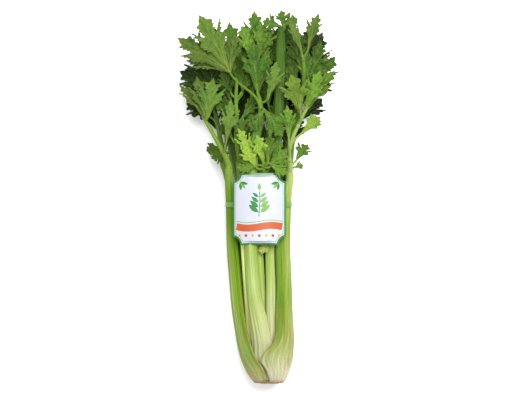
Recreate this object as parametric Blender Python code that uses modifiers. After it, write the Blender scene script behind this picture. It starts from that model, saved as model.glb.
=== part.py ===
"""A head of celery lying on its back, tied with a narrow band that holds a plain label.

The script works in metres with +Z up. +Y runs from the cut base to the leaf tips, and +X is to the right as
seen from above. The tables below are in millimetres and degrees, and MM turns them into metres.

Every stalk is a ribbed, crescent-shaped loft. Its place is given on the outline of the bunch: an angle round
the bunch's axis (0 is +X, 90 is up) and a reach, which is 1 on the outline and 0 on the axis. Above each
stalk grows a frond: a round midrib with side stems, which carry toothed, three-lobed blades.
"""

import math
import random

import bmesh
import bpy
from mathutils import Matrix, Vector
from mathutils.geometry import delaunay_2d_cdt

MM = 0.001
GAP = 0.3
SEED = 7

# The outline of the bunch of stalks: y, centre x, half width, centre z, half depth.
BUNCH = (
    (-222, 16.0, 17.0, 30.0, 14.5),
    (-216, 15.2, 22.0, 30.0, 19.4),
    (-206, 14.2, 27.2, 30.4, 25.4),
    (-190, 12.8, 32.4, 31.6, 30.6),
    (-165, 11.0, 36.5, 33.2, 34.0),
    (-120, 7.5, 39.0, 34.6, 35.6),
    (-60, 4.6, 40.6, 35.6, 36.0),
    (-7, 4.0, 42.5, 36.9, 35.2),
    (60, 2.0, 48.5, 36.8, 38.0),
    (120, 2.0, 53.0, 37.0, 38.5),
    (200, 3.0, 58.0, 36.5, 37.0),
)

# Each stalk: y, angle, reach, width round the bunch, thickness, and how far its rims curl in.
STALKS = {
    "left": (
        (-221, 143, 1.00, 25, 3.4, 0.2),
        (-206, 145.5, 1.00, 43, 4.4, 0.4),
        (-188, 154, 1.00, 42, 5.4, 1.0),
        (-150, 160, 1.00, 37, 7.0, 2.5),
        (-100, 162, 1.00, 32, 8.0, 4.0),
        (-40, 163, 1.00, 26, 8.0, 5.0),
        (0, 158, 1.00, 20, 8.0, 5.0),
        (36, 147, 1.00, 12, 7.5, 2.5),
    ),
    "right": (
        (-221, 42, 1.00, 26, 3.4, 0.2),
        (-206, 42, 1.00, 48, 4.4, 0.4),
        (-190, 47, 1.00, 62, 4.8, 0.4),
        (-168, 34, 1.00, 46, 6.5, 2.0),
        (-140, 32, 1.00, 40, 8.0, 4.0),
        (-100, 29, 1.00, 35, 9.0, 5.0),
        (-40, 30, 1.00, 31, 9.0, 6.0),
        (0, 28, 1.00, 22, 8.0, 5.0),
        (28, 23, 1.00, 12, 7.5, 2.5),
    ),
    "centre": (
        (-217, 98, 0.80, 18, 2.8, 0.2),
        (-206, 100, 0.79, 29, 3.6, 0.2),
        (-192, 102, 0.77, 32, 3.8, 0.3),
        (-180, 101, 0.78, 30, 4.4, 1.0),
        (-169, 100, 0.86, 27, 6.0, 2.4),
        (-139, 103.5, 0.97, 25, 8.5, 5.0),
        (-109, 108, 1.00, 21, 9.0, 6.0),
        (-48, 109, 1.00, 18, 9.0, 5.5),
        (0, 106, 1.00, 16, 8.5, 4.5),
        (60, 96, 0.99, 12, 8.0, 3.0),
        (100, 85, 0.97, 10, 7.0, 2.0),
    ),
    "back_left": (
        (-221, 240, 1.00, 19, 3.4, 0.2),
        (-206, 237, 1.00, 33, 4.4, 0.4),
        (-190, 237, 1.00, 39, 5.0, 0.8),
        (-150, 242, 1.05, 36, 7.0, 3.0),
        (-100, 246, 1.09, 32, 8.0, 4.0),
        (-40, 246, 1.07, 28, 8.0, 4.5),
        (-7, 246, 1.03, 24, 8.0, 4.0),
        (12, 246, 1.10, 22, 8.0, 3.0),
        (28, 244, 1.13, 20, 8.0, 2.5),
        (66, 224, 1.00, 11, 7.5, 2.5),
    ),
    "back_right": (
        (-221, 308, 1.00, 18, 3.4, 0.2),
        (-206, 311, 1.00, 30.5, 4.4, 0.4),
        (-190, 312, 1.00, 35, 5.0, 0.8),
        (-150, 301, 1.05, 34, 7.0, 3.0),
        (-100, 296, 1.09, 31, 8.0, 4.0),
        (-40, 296, 1.07, 27, 8.0, 4.5),
        (-7, 296, 1.03, 24, 8.0, 4.0),
        (12, 294, 1.12, 22, 8.0, 3.0),
        (28, 296, 1.13, 20, 8.0, 2.5),
        (60, 318, 1.00, 11, 7.5, 2.5),
    ),
    "inner_left": (
        (-212, 138, 0.63, 13, 2.8, 0.2),
        (-192, 140, 0.64, 19, 3.6, 0.4),
        (-150, 137, 0.70, 19, 6.0, 2.5),
        (-100, 133, 0.73, 17, 6.5, 3.5),
        (-40, 133, 0.76, 15, 6.5, 3.5),
        (44, 131, 0.80, 11, 7.0, 2.0),
    ),
    "side_left": (
        (-212, 208, 0.66, 14, 2.8, 0.2),
        (-192, 208, 0.70, 21, 4.0, 0.5),
        (-150, 205, 0.74, 21, 6.0, 2.5),
        (-100, 202, 0.75, 19, 6.5, 3.5),
        (-40, 201, 0.78, 17, 6.5, 3.5),
        (20, 190, 0.92, 13, 7.0, 3.0),
        (48, 186, 0.98, 11, 7.5, 2.0),
    ),
    "inner_back": (
        (-212, 272, 0.66, 14, 2.8, 0.2),
        (-192, 272, 0.70, 21, 4.0, 0.5),
        (-150, 272, 0.72, 21, 6.0, 2.5),
        (-100, 272, 0.72, 19, 6.5, 3.5),
        (-40, 272, 0.72, 17, 6.5, 3.5),
        (20, 271, 0.74, 13, 7.0, 3.0),
        (80, 269, 0.72, 10, 7.0, 2.0),
    ),
    "side_right": (
        (-212, 340, 0.66, 14, 2.8, 0.2),
        (-192, 338, 0.70, 20, 4.0, 0.5),
        (-150, 342, 0.74, 20, 6.0, 2.5),
        (-100, 345, 0.75, 18, 6.5, 3.5),
        (-40, 346, 0.78, 16, 6.5, 3.5),
        (20, 352, 0.88, 13, 7.0, 3.0),
        (80, 365, 0.92, 11, 7.5, 2.5),
    ),
    "inner_right": (
        (-212, 64, 0.63, 13, 2.8, 0.2),
        (-192, 66, 0.64, 19, 3.6, 0.4),
        (-150, 64, 0.71, 18, 6.0, 2.5),
        (-110, 62, 0.75, 16, 6.5, 3.5),
        (-48, 60, 0.74, 13.5, 7.0, 3.5),
        (20, 55, 0.83, 12.5, 7.5, 3.0),
        (100, 52, 0.88, 12.5, 8.0, 2.5),
        (196, 52, 0.85, 12, 8.0, 2.5),
    ),
    "heart_front": (
        (-203, 95, 0.44, 11, 2.8, 0.2),
        (-190, 95, 0.48, 15, 3.6, 0.4),
        (-150, 93, 0.50, 13, 5.0, 1.5),
        (-100, 92, 0.58, 11.5, 5.5, 2.5),
        (-40, 92, 0.68, 10.5, 6.0, 2.5),
        (-5, 81, 0.84, 10, 6.0, 2.5),
        (24, 80, 0.90, 9, 6.5, 2.0),
    ),
    "heart_left": (
        (-203, 214, 0.44, 11, 2.8, 0.2),
        (-190, 214, 0.48, 15, 3.6, 0.4),
        (-150, 213, 0.46, 13, 5.0, 1.5),
        (-100, 212, 0.44, 12, 5.5, 2.5),
        (-40, 208, 0.42, 11, 6.0, 2.5),
        (40, 160, 0.36, 10, 6.0, 2.5),
        (120, 112, 0.40, 9, 6.5, 2.0),
    ),
    "heart_right": (
        (-203, 334, 0.44, 11, 2.8, 0.2),
        (-190, 334, 0.48, 15, 3.6, 0.4),
        (-150, 335, 0.46, 13, 5.0, 1.5),
        (-100, 335, 0.44, 12, 5.5, 2.5),
        (-40, 330, 0.42, 11, 6.0, 2.5),
        (40, 345, 0.34, 10, 6.0, 2.5),
        (88, 360, 0.36, 9, 6.5, 2.0),
    ),
}

# Each frond: the midrib's points beyond the stalk, then its sprays. A spray is the share of the midrib where
# its stem leaves, the point where its blades start, and the blades: tip, width, roll, bow, fold and depth of
# the cuts.
FRONDS = {
    "centre": (
        ((5, 116, 69), (2, 126, 66)),
        (
            (
                0.15,
                (-31, 150, 75),
                (
                    ((-94, 192, 64), 36, 14, 0.06, 0.12, 0.2),
                    ((-68, 219, 68), 38, 4, 0.05, 0.12, 0.3),
                    ((-26, 196, 66), 27, -14, 0.06, 0.16, 0.3),
                    ((-84, 165, 60), 20, 30, 0.08, 0.20, 0.2),
                ),
            ),
            (0.40, (13, 118, 75), (((24, 163, 79), 25, 34, 0.03, 0.18, 0.3),)),
            (
                0.10,
                (10, 106, 78),
                (
                    ((32, 74, 77), 30, -12, 0.10, 0.18, 0.1),
                    ((-7, 80, 79), 22, 12, 0.10, 0.18, 0.2),
                ),
            ),
            (
                1.00,
                None,
                (
                    ((-3, 187, 64), 34, -6, 0.05, 0.14, 0.3),
                    ((14, 172, 66), 22, -12, 0.05, 0.14, 0.3),
                ),
            ),
        ),
    ),
    "left": (
        ((-37, 52, 57), (-47, 70, 59), (-60, 93, 58)),
        (
            (
                1.00,
                None,
                (
                    ((-51, 145, 54), 32, 10, 0.06, 0.18, 0.4),
                    ((-71, 147, 52), 24, 6, 0.06, 0.18, 0.4),
                    ((-92, 137, 44), 24, 44, 0.06, 0.24, 0.3),
                ),
            ),
            (0.40, (-36, 66, 66), (((-30, 119, 70), 22, 16, 0.05, 0.22, 0.7),)),
        ),
    ),
    "right": (
        ((40, 42, 54), (39, 57, 58), (44, 74, 60), (57, 102, 59)),
        (
            (
                1.00,
                None,
                (
                    ((94, 155, 50), 26, -30, 0.04, 0.26, 0.3),
                    ((77, 154, 56), 23, 8, 0.06, 0.16, 0.3),
                ),
            ),
            (0.88, (53, 101, 67), (((41, 148, 70), 34, 8, 0.06, 0.16, 0.4),)),
            (0.60, (54, 78, 52), (((78, 99, 44), 20, -12, 0.08, 0.20, -0.6),)),
            (0.20, (48, 46, 44), (((63, 66, 36), 20, -20, 0.08, 0.20, 0.3),)),
            (0.35, (39, 70, 69), (((37, 112, 71), 19, 16, 0.05, 0.22, 0.4),)),
        ),
    ),
    "side_left": (
        ((-43, 72, 32), (-48, 100, 35), (-55, 128, 38)),
        (
            (0.00, (-46, 62, 29), (((-60, 58, 25), 17, 10, 0.05, 0.20, 0.2),)),
            (0.45, (-54, 98, 38), (((-84, 116, 32), 26, 10, 0.06, 0.18, 0.3),)),
            (0.35, (-40, 90, 36), (((-33, 136, 38), 31, 10, 0.06, 0.18, 0.3),)),
            (
                1.00,
                None,
                (
                    ((-74, 180, 36), 34, -8, 0.06, 0.16, 0.3),
                    ((-92, 154, 30), 28, 14, 0.06, 0.16, 0.2),
                    ((-52, 170, 40), 24, 8, 0.06, 0.16, 0.3),
                ),
            ),
        ),
    ),
    "inner_left": (
        ((-23, 70, 57), (-23, 92, 56), (-24, 118, 54), (-23, 142, 50)),
        (
            (0.15, (-20, 62, 64), (((-15, 98, 65), 17, 4, 0.05, 0.20, 0.4),)),
            (0.45, (-31, 94, 53), (((-44, 125, 47), 24, 10, 0.06, 0.18, 0.3),)),
            (0.75, (-16, 128, 53), (((-15, 172, 49), 28, -12, 0.05, 0.16, 0.3),)),
            (
                1.00,
                None,
                (
                    ((-32, 213, 44), 30, 10, 0.06, 0.16, 0.4),
                    ((-14, 203, 43), 26, -14, 0.06, 0.16, 0.3),
                    ((-48, 196, 44), 24, 10, 0.06, 0.16, 0.3),
                ),
            ),
        ),
    ),
    "back_left": (
        ((-37, 88, 17), (-41, 116, 16), (-46, 142, 14)),
        (
            (0.25, (-26, 82, 17), (((-15, 124, 21), 36, -6, 0.05, 0.14, 0.3),)),
            (0.20, (-47, 84, 20), (((-66, 118, 22), 27, 6, 0.05, 0.14, 0.3),)),
            (
                0.55,
                (-54, 120, 17),
                (
                    ((-86, 158, 10), 36, 10, 0.05, 0.14, 0.3),
                    ((-32, 160, 24), 34, 0, 0.05, 0.14, 0.2),
                ),
            ),
            (0.75, (-35, 134, 12), (((-20, 180, 5), 34, -8, 0.05, 0.14, 0.3),)),
            (
                1.00,
                None,
                (
                    ((-50, 208, 9), 40, 6, 0.05, 0.14, 0.4),
                    ((-76, 192, 8), 30, 6, 0.05, 0.14, 0.4),
                ),
            ),
        ),
    ),
    "inner_back": (
        ((0, 104, 14), (1, 126, 15), (0, 146, 15)),
        (
            (
                0.20,
                (11, 98, 17),
                (
                    ((20, 138, 22), 30, -8, 0.05, 0.14, 0.3),
                    ((-12, 148, 26), 36, 0, 0.05, 0.14, 0.2),
                ),
            ),
            (0.75, (10, 136, 15), (((30, 178, 8), 32, -8, 0.05, 0.14, 0.3),)),
            (
                1.00,
                None,
                (
                    ((5, 213, 16), 38, -6, 0.05, 0.14, 0.4),
                    ((-20, 200, 15), 30, 10, 0.05, 0.14, 0.3),
                ),
            ),
        ),
    ),
    "back_right": (
        ((42, 84, 17), (47, 108, 16), (54, 130, 19)),
        (
            (
                0.20,
                (32, 82, 13),
                (
                    ((22, 122, 8), 32, 6, 0.05, 0.14, 0.3),
                    ((40, 134, 16), 34, 0, 0.05, 0.14, 0.2),
                ),
            ),
            (0.40, (54, 96, 16), (((80, 122, 10), 28, -6, 0.05, 0.14, 0.3),)),
            (0.85, (58, 122, 16), (((90, 148, 9), 30, -10, 0.05, 0.14, 0.3),)),
            (
                0.70,
                (44, 124, 11),
                (
                    ((44, 172, 4), 34, -6, 0.05, 0.14, 0.3),
                    ((24, 180, 24), 34, 0, 0.05, 0.14, 0.2),
                ),
            ),
            (
                1.00,
                None,
                (
                    ((80, 202, 24), 38, -8, 0.06, 0.16, 0.6),
                    ((56, 198, 19), 28, 10, 0.05, 0.14, 0.3),
                ),
            ),
        ),
    ),
    "side_right": (
        ((50, 100, 42), (55, 126, 56), (57, 150, 66), (56, 168, 68)),
        (
            (1.00, None, (((38, 214, 72), 16, 40, 0.03, 0.36, 0.2),)),
            (0.95, (62, 178, 69), (((75, 221, 70), 21, -30, 0.04, 0.34, 0.2),)),
            (0.45, (48, 134, 50), (((38, 174, 46), 26, 14, 0.05, 0.16, 0.3),)),
            (
                0.35,
                (62, 128, 42),
                (
                    ((95, 172, 38), 32, -10, 0.06, 0.16, 0.6),
                    ((78, 190, 40), 28, 0, 0.06, 0.16, 0.4),
                    ((60, 176, 46), 24, 10, 0.06, 0.16, 0.3),
                ),
            ),
        ),
    ),
    "inner_right": (
        ((33, 204, 57), (33, 208, 57)),
        (
            (0.50, (28, 206, 59), (((8, 212, 60), 22, 12, 0.06, 0.20, 0.3),)),
            (
                1.00,
                None,
                (
                    ((50, 216, 54), 22, -14, 0.06, 0.20, 0.3),
                    ((30, 225, 62), 18, 6, 0.06, 0.20, 0.3),
                ),
            ),
        ),
    ),
    "heart_front": (
        ((9, 34, 69), (9, 42, 73)),
        (
            (1.00, None, (((1, 76, 79), 22, 16, 0.05, 0.20, 0.4),)),
            (0.80, (14, 42, 76), (((17, 78, 77), 19, -14, 0.05, 0.20, 0.4),)),
            (0.65, (16, 38, 75), (((37, 58, 71), 28, -12, 0.06, 0.16, 0.4),)),
            (
                0.55,
                (1, 37, 77),
                (
                    ((-15, 64, 78), 22, 14, 0.06, 0.18, 0.4),
                    ((-22, 85, 71), 18, 10, 0.04, 0.18, 0.4),
                ),
            ),
        ),
    ),
    "heart_left": (
        ((-3, 140, 48), (0, 164, 50)),
        (
            (0.30, (-13, 138, 42), (((-40, 163, 33), 30, 6, 0.05, 0.16, 0.3),)),
            (
                0.85,
                (4, 170, 55),
                (
                    ((17, 207, 58), 24, -12, 0.05, 0.18, 0.4),
                    ((6, 213, 60), 20, 6, 0.05, 0.18, 0.4),
                ),
            ),
            (0.75, (-5, 166, 54), (((-17, 207, 59), 24, 14, 0.05, 0.18, 0.4),)),
            (1.00, None, (((-2, 226, 50), 28, 4, 0.05, 0.16, 0.4),)),
        ),
    ),
    "heart_right": (
        ((24, 120, 38), (25, 144, 38), (28, 168, 38)),
        (
            (0.30, (34, 116, 38), (((50, 148, 32), 28, -10, 0.05, 0.16, 0.4),)),
            (0.20, (15, 112, 42), (((12, 148, 41), 25, 10, 0.05, 0.16, 0.4),)),
            (0.80, (38, 160, 36), (((58, 198, 32), 28, -10, 0.05, 0.16, 0.4),)),
            (
                1.00,
                None,
                (
                    ((36, 214, 38), 30, -6, 0.05, 0.16, 0.4),
                    ((18, 204, 40), 24, 10, 0.05, 0.16, 0.4),
                ),
            ),
        ),
    ),
}

# One side of a blade's outline, as shares of its length and of its width, from the base towards the tip: its
# wedge-shaped foot, its side lobe, the cut below its middle lobe and the teeth of that lobe.
BLADE_BASE = ((0.00, 0.03), (0.40, 0.22))
BLADE_LOBE = ((0.56, 0.45), (0.61, 0.37), (0.79, 0.50))
BLADE_CUT = (0.72, 0.27)
BLADE_TOP = ((0.86, 0.27), (0.87, 0.13))
BLADE_CUT_MOVES = (-0.24, -0.18)
BLADE_MIDRIB = (0.28, 0.52, 0.76)
BLADE_SPREAD = 0.02
BLADE_THICK, BLADE_SINK = 0.8, 0.5
LEAF_FLOOR = 1.0

OUTER_STALKS = ("left", "right", "centre", "back_left", "back_right")
OUTER_RIBS, INNER_RIBS = 5, 3
STALK_INNER_POINTS, STALK_INNER_SPREAD = 4, 0.94
STALK_STEP = 30
FLARE_END, FLARE_STEP = -188, 9
RIB_SHARE = 0.035
RIM_SHARE = 0.42
SHARP_ANGLE = 50

# The frond's midrib: its first radius as a share of its stalk's width, its last radius, how far it runs
# straight on from the stalk, and its number of steps. Then the side stems: their radii, how far they run into
# a blade, their steps, and how firmly they keep to the midrib's line and to the blade's.
MIDRIB_SHARE, MIDRIB_END = 0.40, 2.0
MIDRIB_STRAIGHT, MIDRIB_STEPS = 4, 6
STEM_RADII = (2.1, 1.1)
STEM_SINKS, STEM_STEPS = 0.14, 4
STEM_LEAVES, STEM_ARRIVES = 0.4, 0.35

# The crown is the solid root plate that the stalks grow from: y and radius, from its cut face inwards.
CROWN_PROFILE = ((-222.0, 0.0), (-222.0, 10.4), (-221.2, 11.2), (-209.0, 11.2), (-204.2, 9.6), (-203.6, 0.0))
CROWN_SIDES = 24

BAND_FROM, BAND_TO, BAND_THICK = -10.0, -4.0, 0.7

# The label: its middle, its half sizes, the radius of its corner scoops and how it bends over the bunch.
LABEL_X, LABEL_Y = 4.0, -12.0
LABEL_HALF_WIDTH, LABEL_HALF_LENGTH = 33.0, 43.0
LABEL_SCOOP = 10.0
LABEL_SCOOP_STEPS = (0.0, 0.06, 0.3, 0.65, 1.0)
LABEL_COLUMNS = 8
LABEL_TOP, LABEL_RISE, LABEL_BEND_RADIUS, LABEL_THICK = 74.4, 0.03, 56.0, 0.8

COLOURS = {
    "stalk": (0.40, 0.60, 0.14),
    "heart": (0.62, 0.72, 0.28),
    "leaf": (0.10, 0.28, 0.035),
    "young_leaf": (0.26, 0.46, 0.06),
    "crown": (0.78, 0.74, 0.52),
    "band": (0.20, 0.46, 0.12),
    "label": (0.86, 0.88, 0.92),
}


def clear_scene():
    for obj in list(bpy.data.objects):
        bpy.data.objects.remove(obj)


def material(name, roughness=0.45):
    found = bpy.data.materials.get(name)
    if found:
        return found
    made = bpy.data.materials.new(name)
    made.use_nodes = True
    shader = made.node_tree.nodes["Principled BSDF"]
    shader.inputs["Base Color"].default_value = (*COLOURS[name], 1.0)
    shader.inputs["Roughness"].default_value = roughness
    made.diffuse_color = (*COLOURS[name], 1.0)
    return made


def smooth(rows, at):
    """The values of a table's rows at a place along its first column, on a smooth curve through the rows."""
    if at <= rows[0][0]:
        return list(rows[0][1:])
    if at >= rows[-1][0]:
        return list(rows[-1][1:])
    i = max(k for k in range(len(rows) - 1) if rows[k][0] <= at)
    before, low, high, after = rows[max(i - 1, 0)], rows[i], rows[i + 1], rows[min(i + 2, len(rows) - 1)]
    span = high[0] - low[0]
    t = (at - low[0]) / span
    found = []
    for a, b, c, d in zip(before[1:], low[1:], high[1:], after[1:]):
        start = (c - a) / (high[0] - before[0]) * span
        end = (d - b) / (after[0] - low[0]) * span
        found.append(
            (2 * t**3 - 3 * t**2 + 1) * b
            + (t**3 - 2 * t**2 + t) * start
            + (3 * t**2 - 2 * t**3) * c
            + (t**3 - t**2) * end
        )
    return found


def bunch_point(y, angle, reach, inset):
    """A point (x, z) of the bunch's section at y, moved in towards the axis by inset."""
    centre_x, half_width, centre_z, half_depth = smooth(BUNCH, y)
    share = reach - inset / ((half_width + half_depth) / 2)
    turn = math.radians(angle)
    return centre_x + half_width * share * math.cos(turn), centre_z + half_depth * share * math.sin(turn)


def stalk_section(name, y):
    """The crescent of one stalk at y: its ribbed outer side, then its hollow inner side, not below z 0."""
    ribs = OUTER_RIBS if name in OUTER_STALKS else INNER_RIBS
    angle, reach, width, thick, curl = smooth(STALKS[name], y)
    _, half_width, _, half_depth = smooth(BUNCH, y)
    half_angle = math.degrees(width / 2 / ((half_width + half_depth) / 2 * reach))
    rim = thick * RIM_SHARE
    points = []
    for k in range(2 * ribs + 1):
        across = k / ribs - 1
        groove = width * RIB_SHARE * (1 - math.cos(math.pi * k)) / 2
        points.append(bunch_point(y, angle + half_angle * across, reach, curl * across**2 + groove))
    for k in range(STALK_INNER_POINTS):
        across = STALK_INNER_SPREAD * (1 - 2 * k / (STALK_INNER_POINTS - 1))
        depth = curl * across**2 + rim + (thick - rim) * (1 - across**2)
        points.append(bunch_point(y, angle + half_angle * across, reach, depth))
    return [Vector((x, y, max(z, 0.0))) * MM for x, z in points]


def loft(name, rings):
    """A closed solid through rings of equally many points."""
    bm = bmesh.new()
    levels = [[bm.verts.new(point) for point in ring] for ring in rings]
    count = len(rings[0])
    for low, high in zip(levels, levels[1:]):
        for k in range(count):
            after = (k + 1) % count
            bm.faces.new((low[k], low[after], high[after], high[k]))
    bm.faces.new(reversed(levels[0]))
    bm.faces.new(levels[-1])
    bmesh.ops.recalc_face_normals(bm, faces=bm.faces)
    mesh = bpy.data.meshes.new(name)
    bm.to_mesh(mesh)
    bm.free()
    return bpy.data.objects.new(name, mesh)


def stalk_levels(rows):
    """Where a stalk's sections stand: at its rows, at the band's edges, and evenly between them."""
    marks = sorted({row[0] for row in rows} | {y for y in (BAND_FROM, BAND_TO) if y < rows[-1][0]})
    levels = [marks[0]]
    for low, high in zip(marks, marks[1:]):
        count = math.ceil((high - low) / (FLARE_STEP if high <= FLARE_END else STALK_STEP))
        levels += [low + (high - low) * (k + 1) / count for k in range(count)]
    return levels


def stalk(name, collection):
    made = loft("stalk_" + name, [stalk_section(name, y) for y in stalk_levels(STALKS[name])])
    made.data.materials.append(material("heart" if name.startswith(("heart", "inner")) else "stalk"))
    made.data.shade_smooth()
    made.data.set_sharp_from_angle(angle=math.radians(SHARP_ANGLE))
    collection.objects.link(made)


def stalk_end(name):
    """The middle of a stalk's upper end, where its frond starts."""
    y, angle, reach, _, thick, curl = STALKS[name][-1]
    x, z = bunch_point(y, angle, reach, thick / 2 + curl / 4)
    return Vector((x, y, z))


def curve_through(points, count):
    """Points on a smooth curve through the given ones."""
    rows = [(k, *point) for k, point in enumerate(points)]
    return [Vector(smooth(rows, k * (len(points) - 1) / count)) for k in range(count + 1)]


def tube(name, points, radii, sides_level, collection):
    """A tapered round stem as a closed mesh. sides_level 0 and 1 give 4 and 6 sides."""
    data = bpy.data.curves.new(name, "CURVE")
    data.dimensions = "3D"
    data.bevel_depth = MM
    data.bevel_resolution = sides_level
    data.use_fill_caps = True
    spline = data.splines.new("POLY")
    spline.points.add(len(points) - 1)
    for k, point in enumerate(points):
        spline.points[k].co = (*(point * MM), 1.0)
        share = k / (len(points) - 1)
        spline.points[k].radius = radii[0] + (radii[1] - radii[0]) * share
    guide = bpy.data.objects.new(name + "_line", data)
    bpy.context.scene.collection.objects.link(guide)
    bpy.context.view_layer.update()
    mesh = bpy.data.meshes.new_from_object(guide.evaluated_get(bpy.context.evaluated_depsgraph_get()))
    bpy.data.objects.remove(guide)
    bm = bmesh.new()
    bm.from_mesh(mesh)
    bmesh.ops.remove_doubles(bm, verts=bm.verts, dist=0.00001)
    bmesh.ops.recalc_face_normals(bm, faces=bm.faces)
    bm.to_mesh(mesh)
    bm.free()
    mesh.name = name
    made = bpy.data.objects.new(name, mesh)
    collection.objects.link(made)
    return made


def blade_outline(cut, draw):
    """The toothed, three-lobed outline of a blade, anticlockwise, as shares of its length and width."""
    sinus = (BLADE_CUT[0] + cut * BLADE_CUT_MOVES[0], BLADE_CUT[1] + cut * BLADE_CUT_MOVES[1])
    side = (*BLADE_LOBE, sinus, *BLADE_TOP)

    def uneven(point):
        return tuple(value + draw.uniform(-BLADE_SPREAD, BLADE_SPREAD) for value in point)

    left = [*BLADE_BASE, *(uneven(point) for point in side)]
    right = [*BLADE_BASE, *(uneven(point) for point in side)]
    return [(u, -v) for u, v in right] + [(1.0, 0.0)] + left[::-1]


def blade_frame(base, tip, roll):
    """Along, across and normal directions of a blade, rolled about its midrib."""
    along = (tip - base).normalized()
    across = Vector((0, 0, 1)).cross(along).normalized()
    turned = Matrix.Rotation(math.radians(roll), 3, along)
    across = turned @ across
    return along, across, along.cross(across)


def blade_point(u, v, base, tip, width, frame, bow, fold):
    """The blade arches along its midrib by bow and rises towards its sides by fold."""
    _, across, normal = frame
    length = (tip - base).length
    rise = length * bow * 4 * u * (1 - u) + width * fold * abs(v)
    point = base.lerp(tip, u) + across * (v * width) + normal * rise
    return Vector((point.x, point.y, max(point.z, LEAF_FLOOR)))


def blade(name, base, spec, draw, collection):
    tip, width, roll, bow, fold, cut = spec
    tip = Vector(tip)
    outline = blade_outline(cut, draw)
    flat = [Vector(point) for point in outline + [(u, 0.0) for u in BLADE_MIDRIB]]
    flat_points, _, faces, *_ = delaunay_2d_cdt(flat, [], [list(range(len(outline)))], 1, 1e-6)
    frame = blade_frame(base, tip, roll)
    mesh = bpy.data.meshes.new(name)
    placed = [blade_point(u, v, base, tip, width, frame, bow, fold) * MM for u, v in flat_points]
    mesh.from_pydata(placed, [], faces)
    made = bpy.data.objects.new(name, mesh)
    collection.objects.link(made)
    solid = made.modifiers.new("thickness", "SOLIDIFY")
    solid.thickness = BLADE_THICK * MM
    solid.offset = 0.0
    return made


def longest_reach(base, blades):
    """The line from a spray's base to the tip of its longest blade."""
    return max((Vector(spec[0]) - base for spec in blades), key=lambda reach: reach.length)


def stem_points(root, direction, base, end):
    """A stem that leaves along the midrib, bends over to the blades and runs a little way into them."""
    reach = (base - root).length
    first = root + direction * reach * STEM_LEAVES
    second = base - end.normalized() * reach * STEM_ARRIVES
    points = []
    for k in range(STEM_STEPS + 1):
        t = k / STEM_STEPS
        points.append(
            root * (1 - t) ** 3 + first * 3 * t * (1 - t) ** 2 + second * 3 * t**2 * (1 - t) + base * t**3
        )
    return [*points, base + end * STEM_SINKS]


def frond(name, midrib, sprays, collection):
    """One frond as a single solid: the midrib, with its stems and blades joined to it."""
    draw = random.Random(f"{SEED} {name}")
    repeats = bpy.data.collections.new("repeats_" + name)
    bpy.context.scene.collection.children.link(repeats)
    start = stalk_end(name) + Vector((0, GAP, 0))
    straight = start + Vector((0, MIDRIB_STRAIGHT, 0))
    line = [start, *curve_through([straight, *(Vector(point) for point in midrib)], MIDRIB_STEPS)]
    sprays = [(share, line[-1] if base is None else Vector(base), blades) for share, base, blades in sprays]
    ends = [longest_reach(base, blades) for _, base, blades in sprays]
    top = next(end for (share, _, _), end in zip(sprays, ends) if share == 1)
    radii = (STALKS[name][-1][3] * MIDRIB_SHARE, MIDRIB_END)
    made = tube("frond_" + name, [*line, line[-1] + top * STEM_SINKS], radii, 1, collection)
    for k, ((share, base, blades), end) in enumerate(zip(sprays, ends)):
        if share < 1:
            place = share * (len(line) - 1)
            index = int(place)
            root = line[index].lerp(line[index + 1], place - index)
            direction = (line[index + 1] - line[index]).normalized()
            tube(f"stem_{k}", stem_points(root, direction, base, end), STEM_RADII, 0, repeats)
        for j, spec in enumerate(blades):
            blade(f"blade_{k}_{j}", base - end.normalized() * BLADE_SINK, spec, draw, repeats)
    join(made, repeats)
    made.data.materials.clear()
    made.data.materials.append(material("young_leaf" if name.startswith("heart") else "leaf"))


def drop_scraps(mesh):
    """Keeps only the largest connected piece of a mesh."""
    bm = bmesh.new()
    bm.from_mesh(mesh)
    left = set(bm.verts)
    pieces = []
    while left:
        piece, edge = set(), [left.pop()]
        while edge:
            vertex = edge.pop()
            piece.add(vertex)
            near = {link.other_vert(vertex) for link in vertex.link_edges} & left
            left -= near
            edge += near
        pieces.append(piece)
    pieces.sort(key=len)
    for piece in pieces[:-1]:
        bmesh.ops.delete(bm, geom=list(piece), context="VERTS")
    bm.to_mesh(mesh)
    bm.free()


def join(made, repeats):
    """Joins a collection's solids to one solid and removes them."""
    union = made.modifiers.new("joined", "BOOLEAN")
    union.operation = "UNION"
    union.operand_type = "COLLECTION"
    union.collection = repeats
    union.solver = "MANIFOLD"
    bpy.context.view_layer.update()
    mesh = bpy.data.meshes.new_from_object(made.evaluated_get(bpy.context.evaluated_depsgraph_get()))
    drop_scraps(mesh)
    made.modifiers.clear()
    made.data = mesh
    for obj in list(repeats.objects):
        bpy.data.objects.remove(obj)
    bpy.data.collections.remove(repeats)


def crown(collection):
    """The root plate, turned about the bunch's axis."""
    centre_x, _, centre_z, _ = BUNCH[0][1:]
    mesh = bpy.data.meshes.new("crown")
    points = [Vector((radius, 0, y)) * MM for y, radius in reversed(CROWN_PROFILE)]
    mesh.from_pydata(points, [(k, k + 1) for k in range(len(points) - 1)], [])
    made = bpy.data.objects.new("crown", mesh)
    collection.objects.link(made)
    turned = made.modifiers.new("turned", "SCREW")
    turned.steps = turned.render_steps = CROWN_SIDES
    turned.use_merge_vertices = True
    turned.merge_threshold = 0.00001
    made.rotation_euler = (-math.pi / 2, 0, 0)
    made.location = Vector((centre_x, 0, centre_z)) * MM
    made.data.materials.append(material("crown", 0.7))


def hull_outline(points):
    """The convex outline of flat points, anticlockwise."""
    points = sorted(set(points))

    def chain(run):
        kept = []
        for p in run:
            while len(kept) > 1:
                (ax, ay), (bx, by) = kept[-2], kept[-1]
                if (bx - ax) * (p[1] - ay) - (by - ay) * (p[0] - ax) > 0:
                    break
                kept.pop()
            kept.append(p)
        return kept[:-1]

    return chain(points) + chain(points[::-1])


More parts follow.
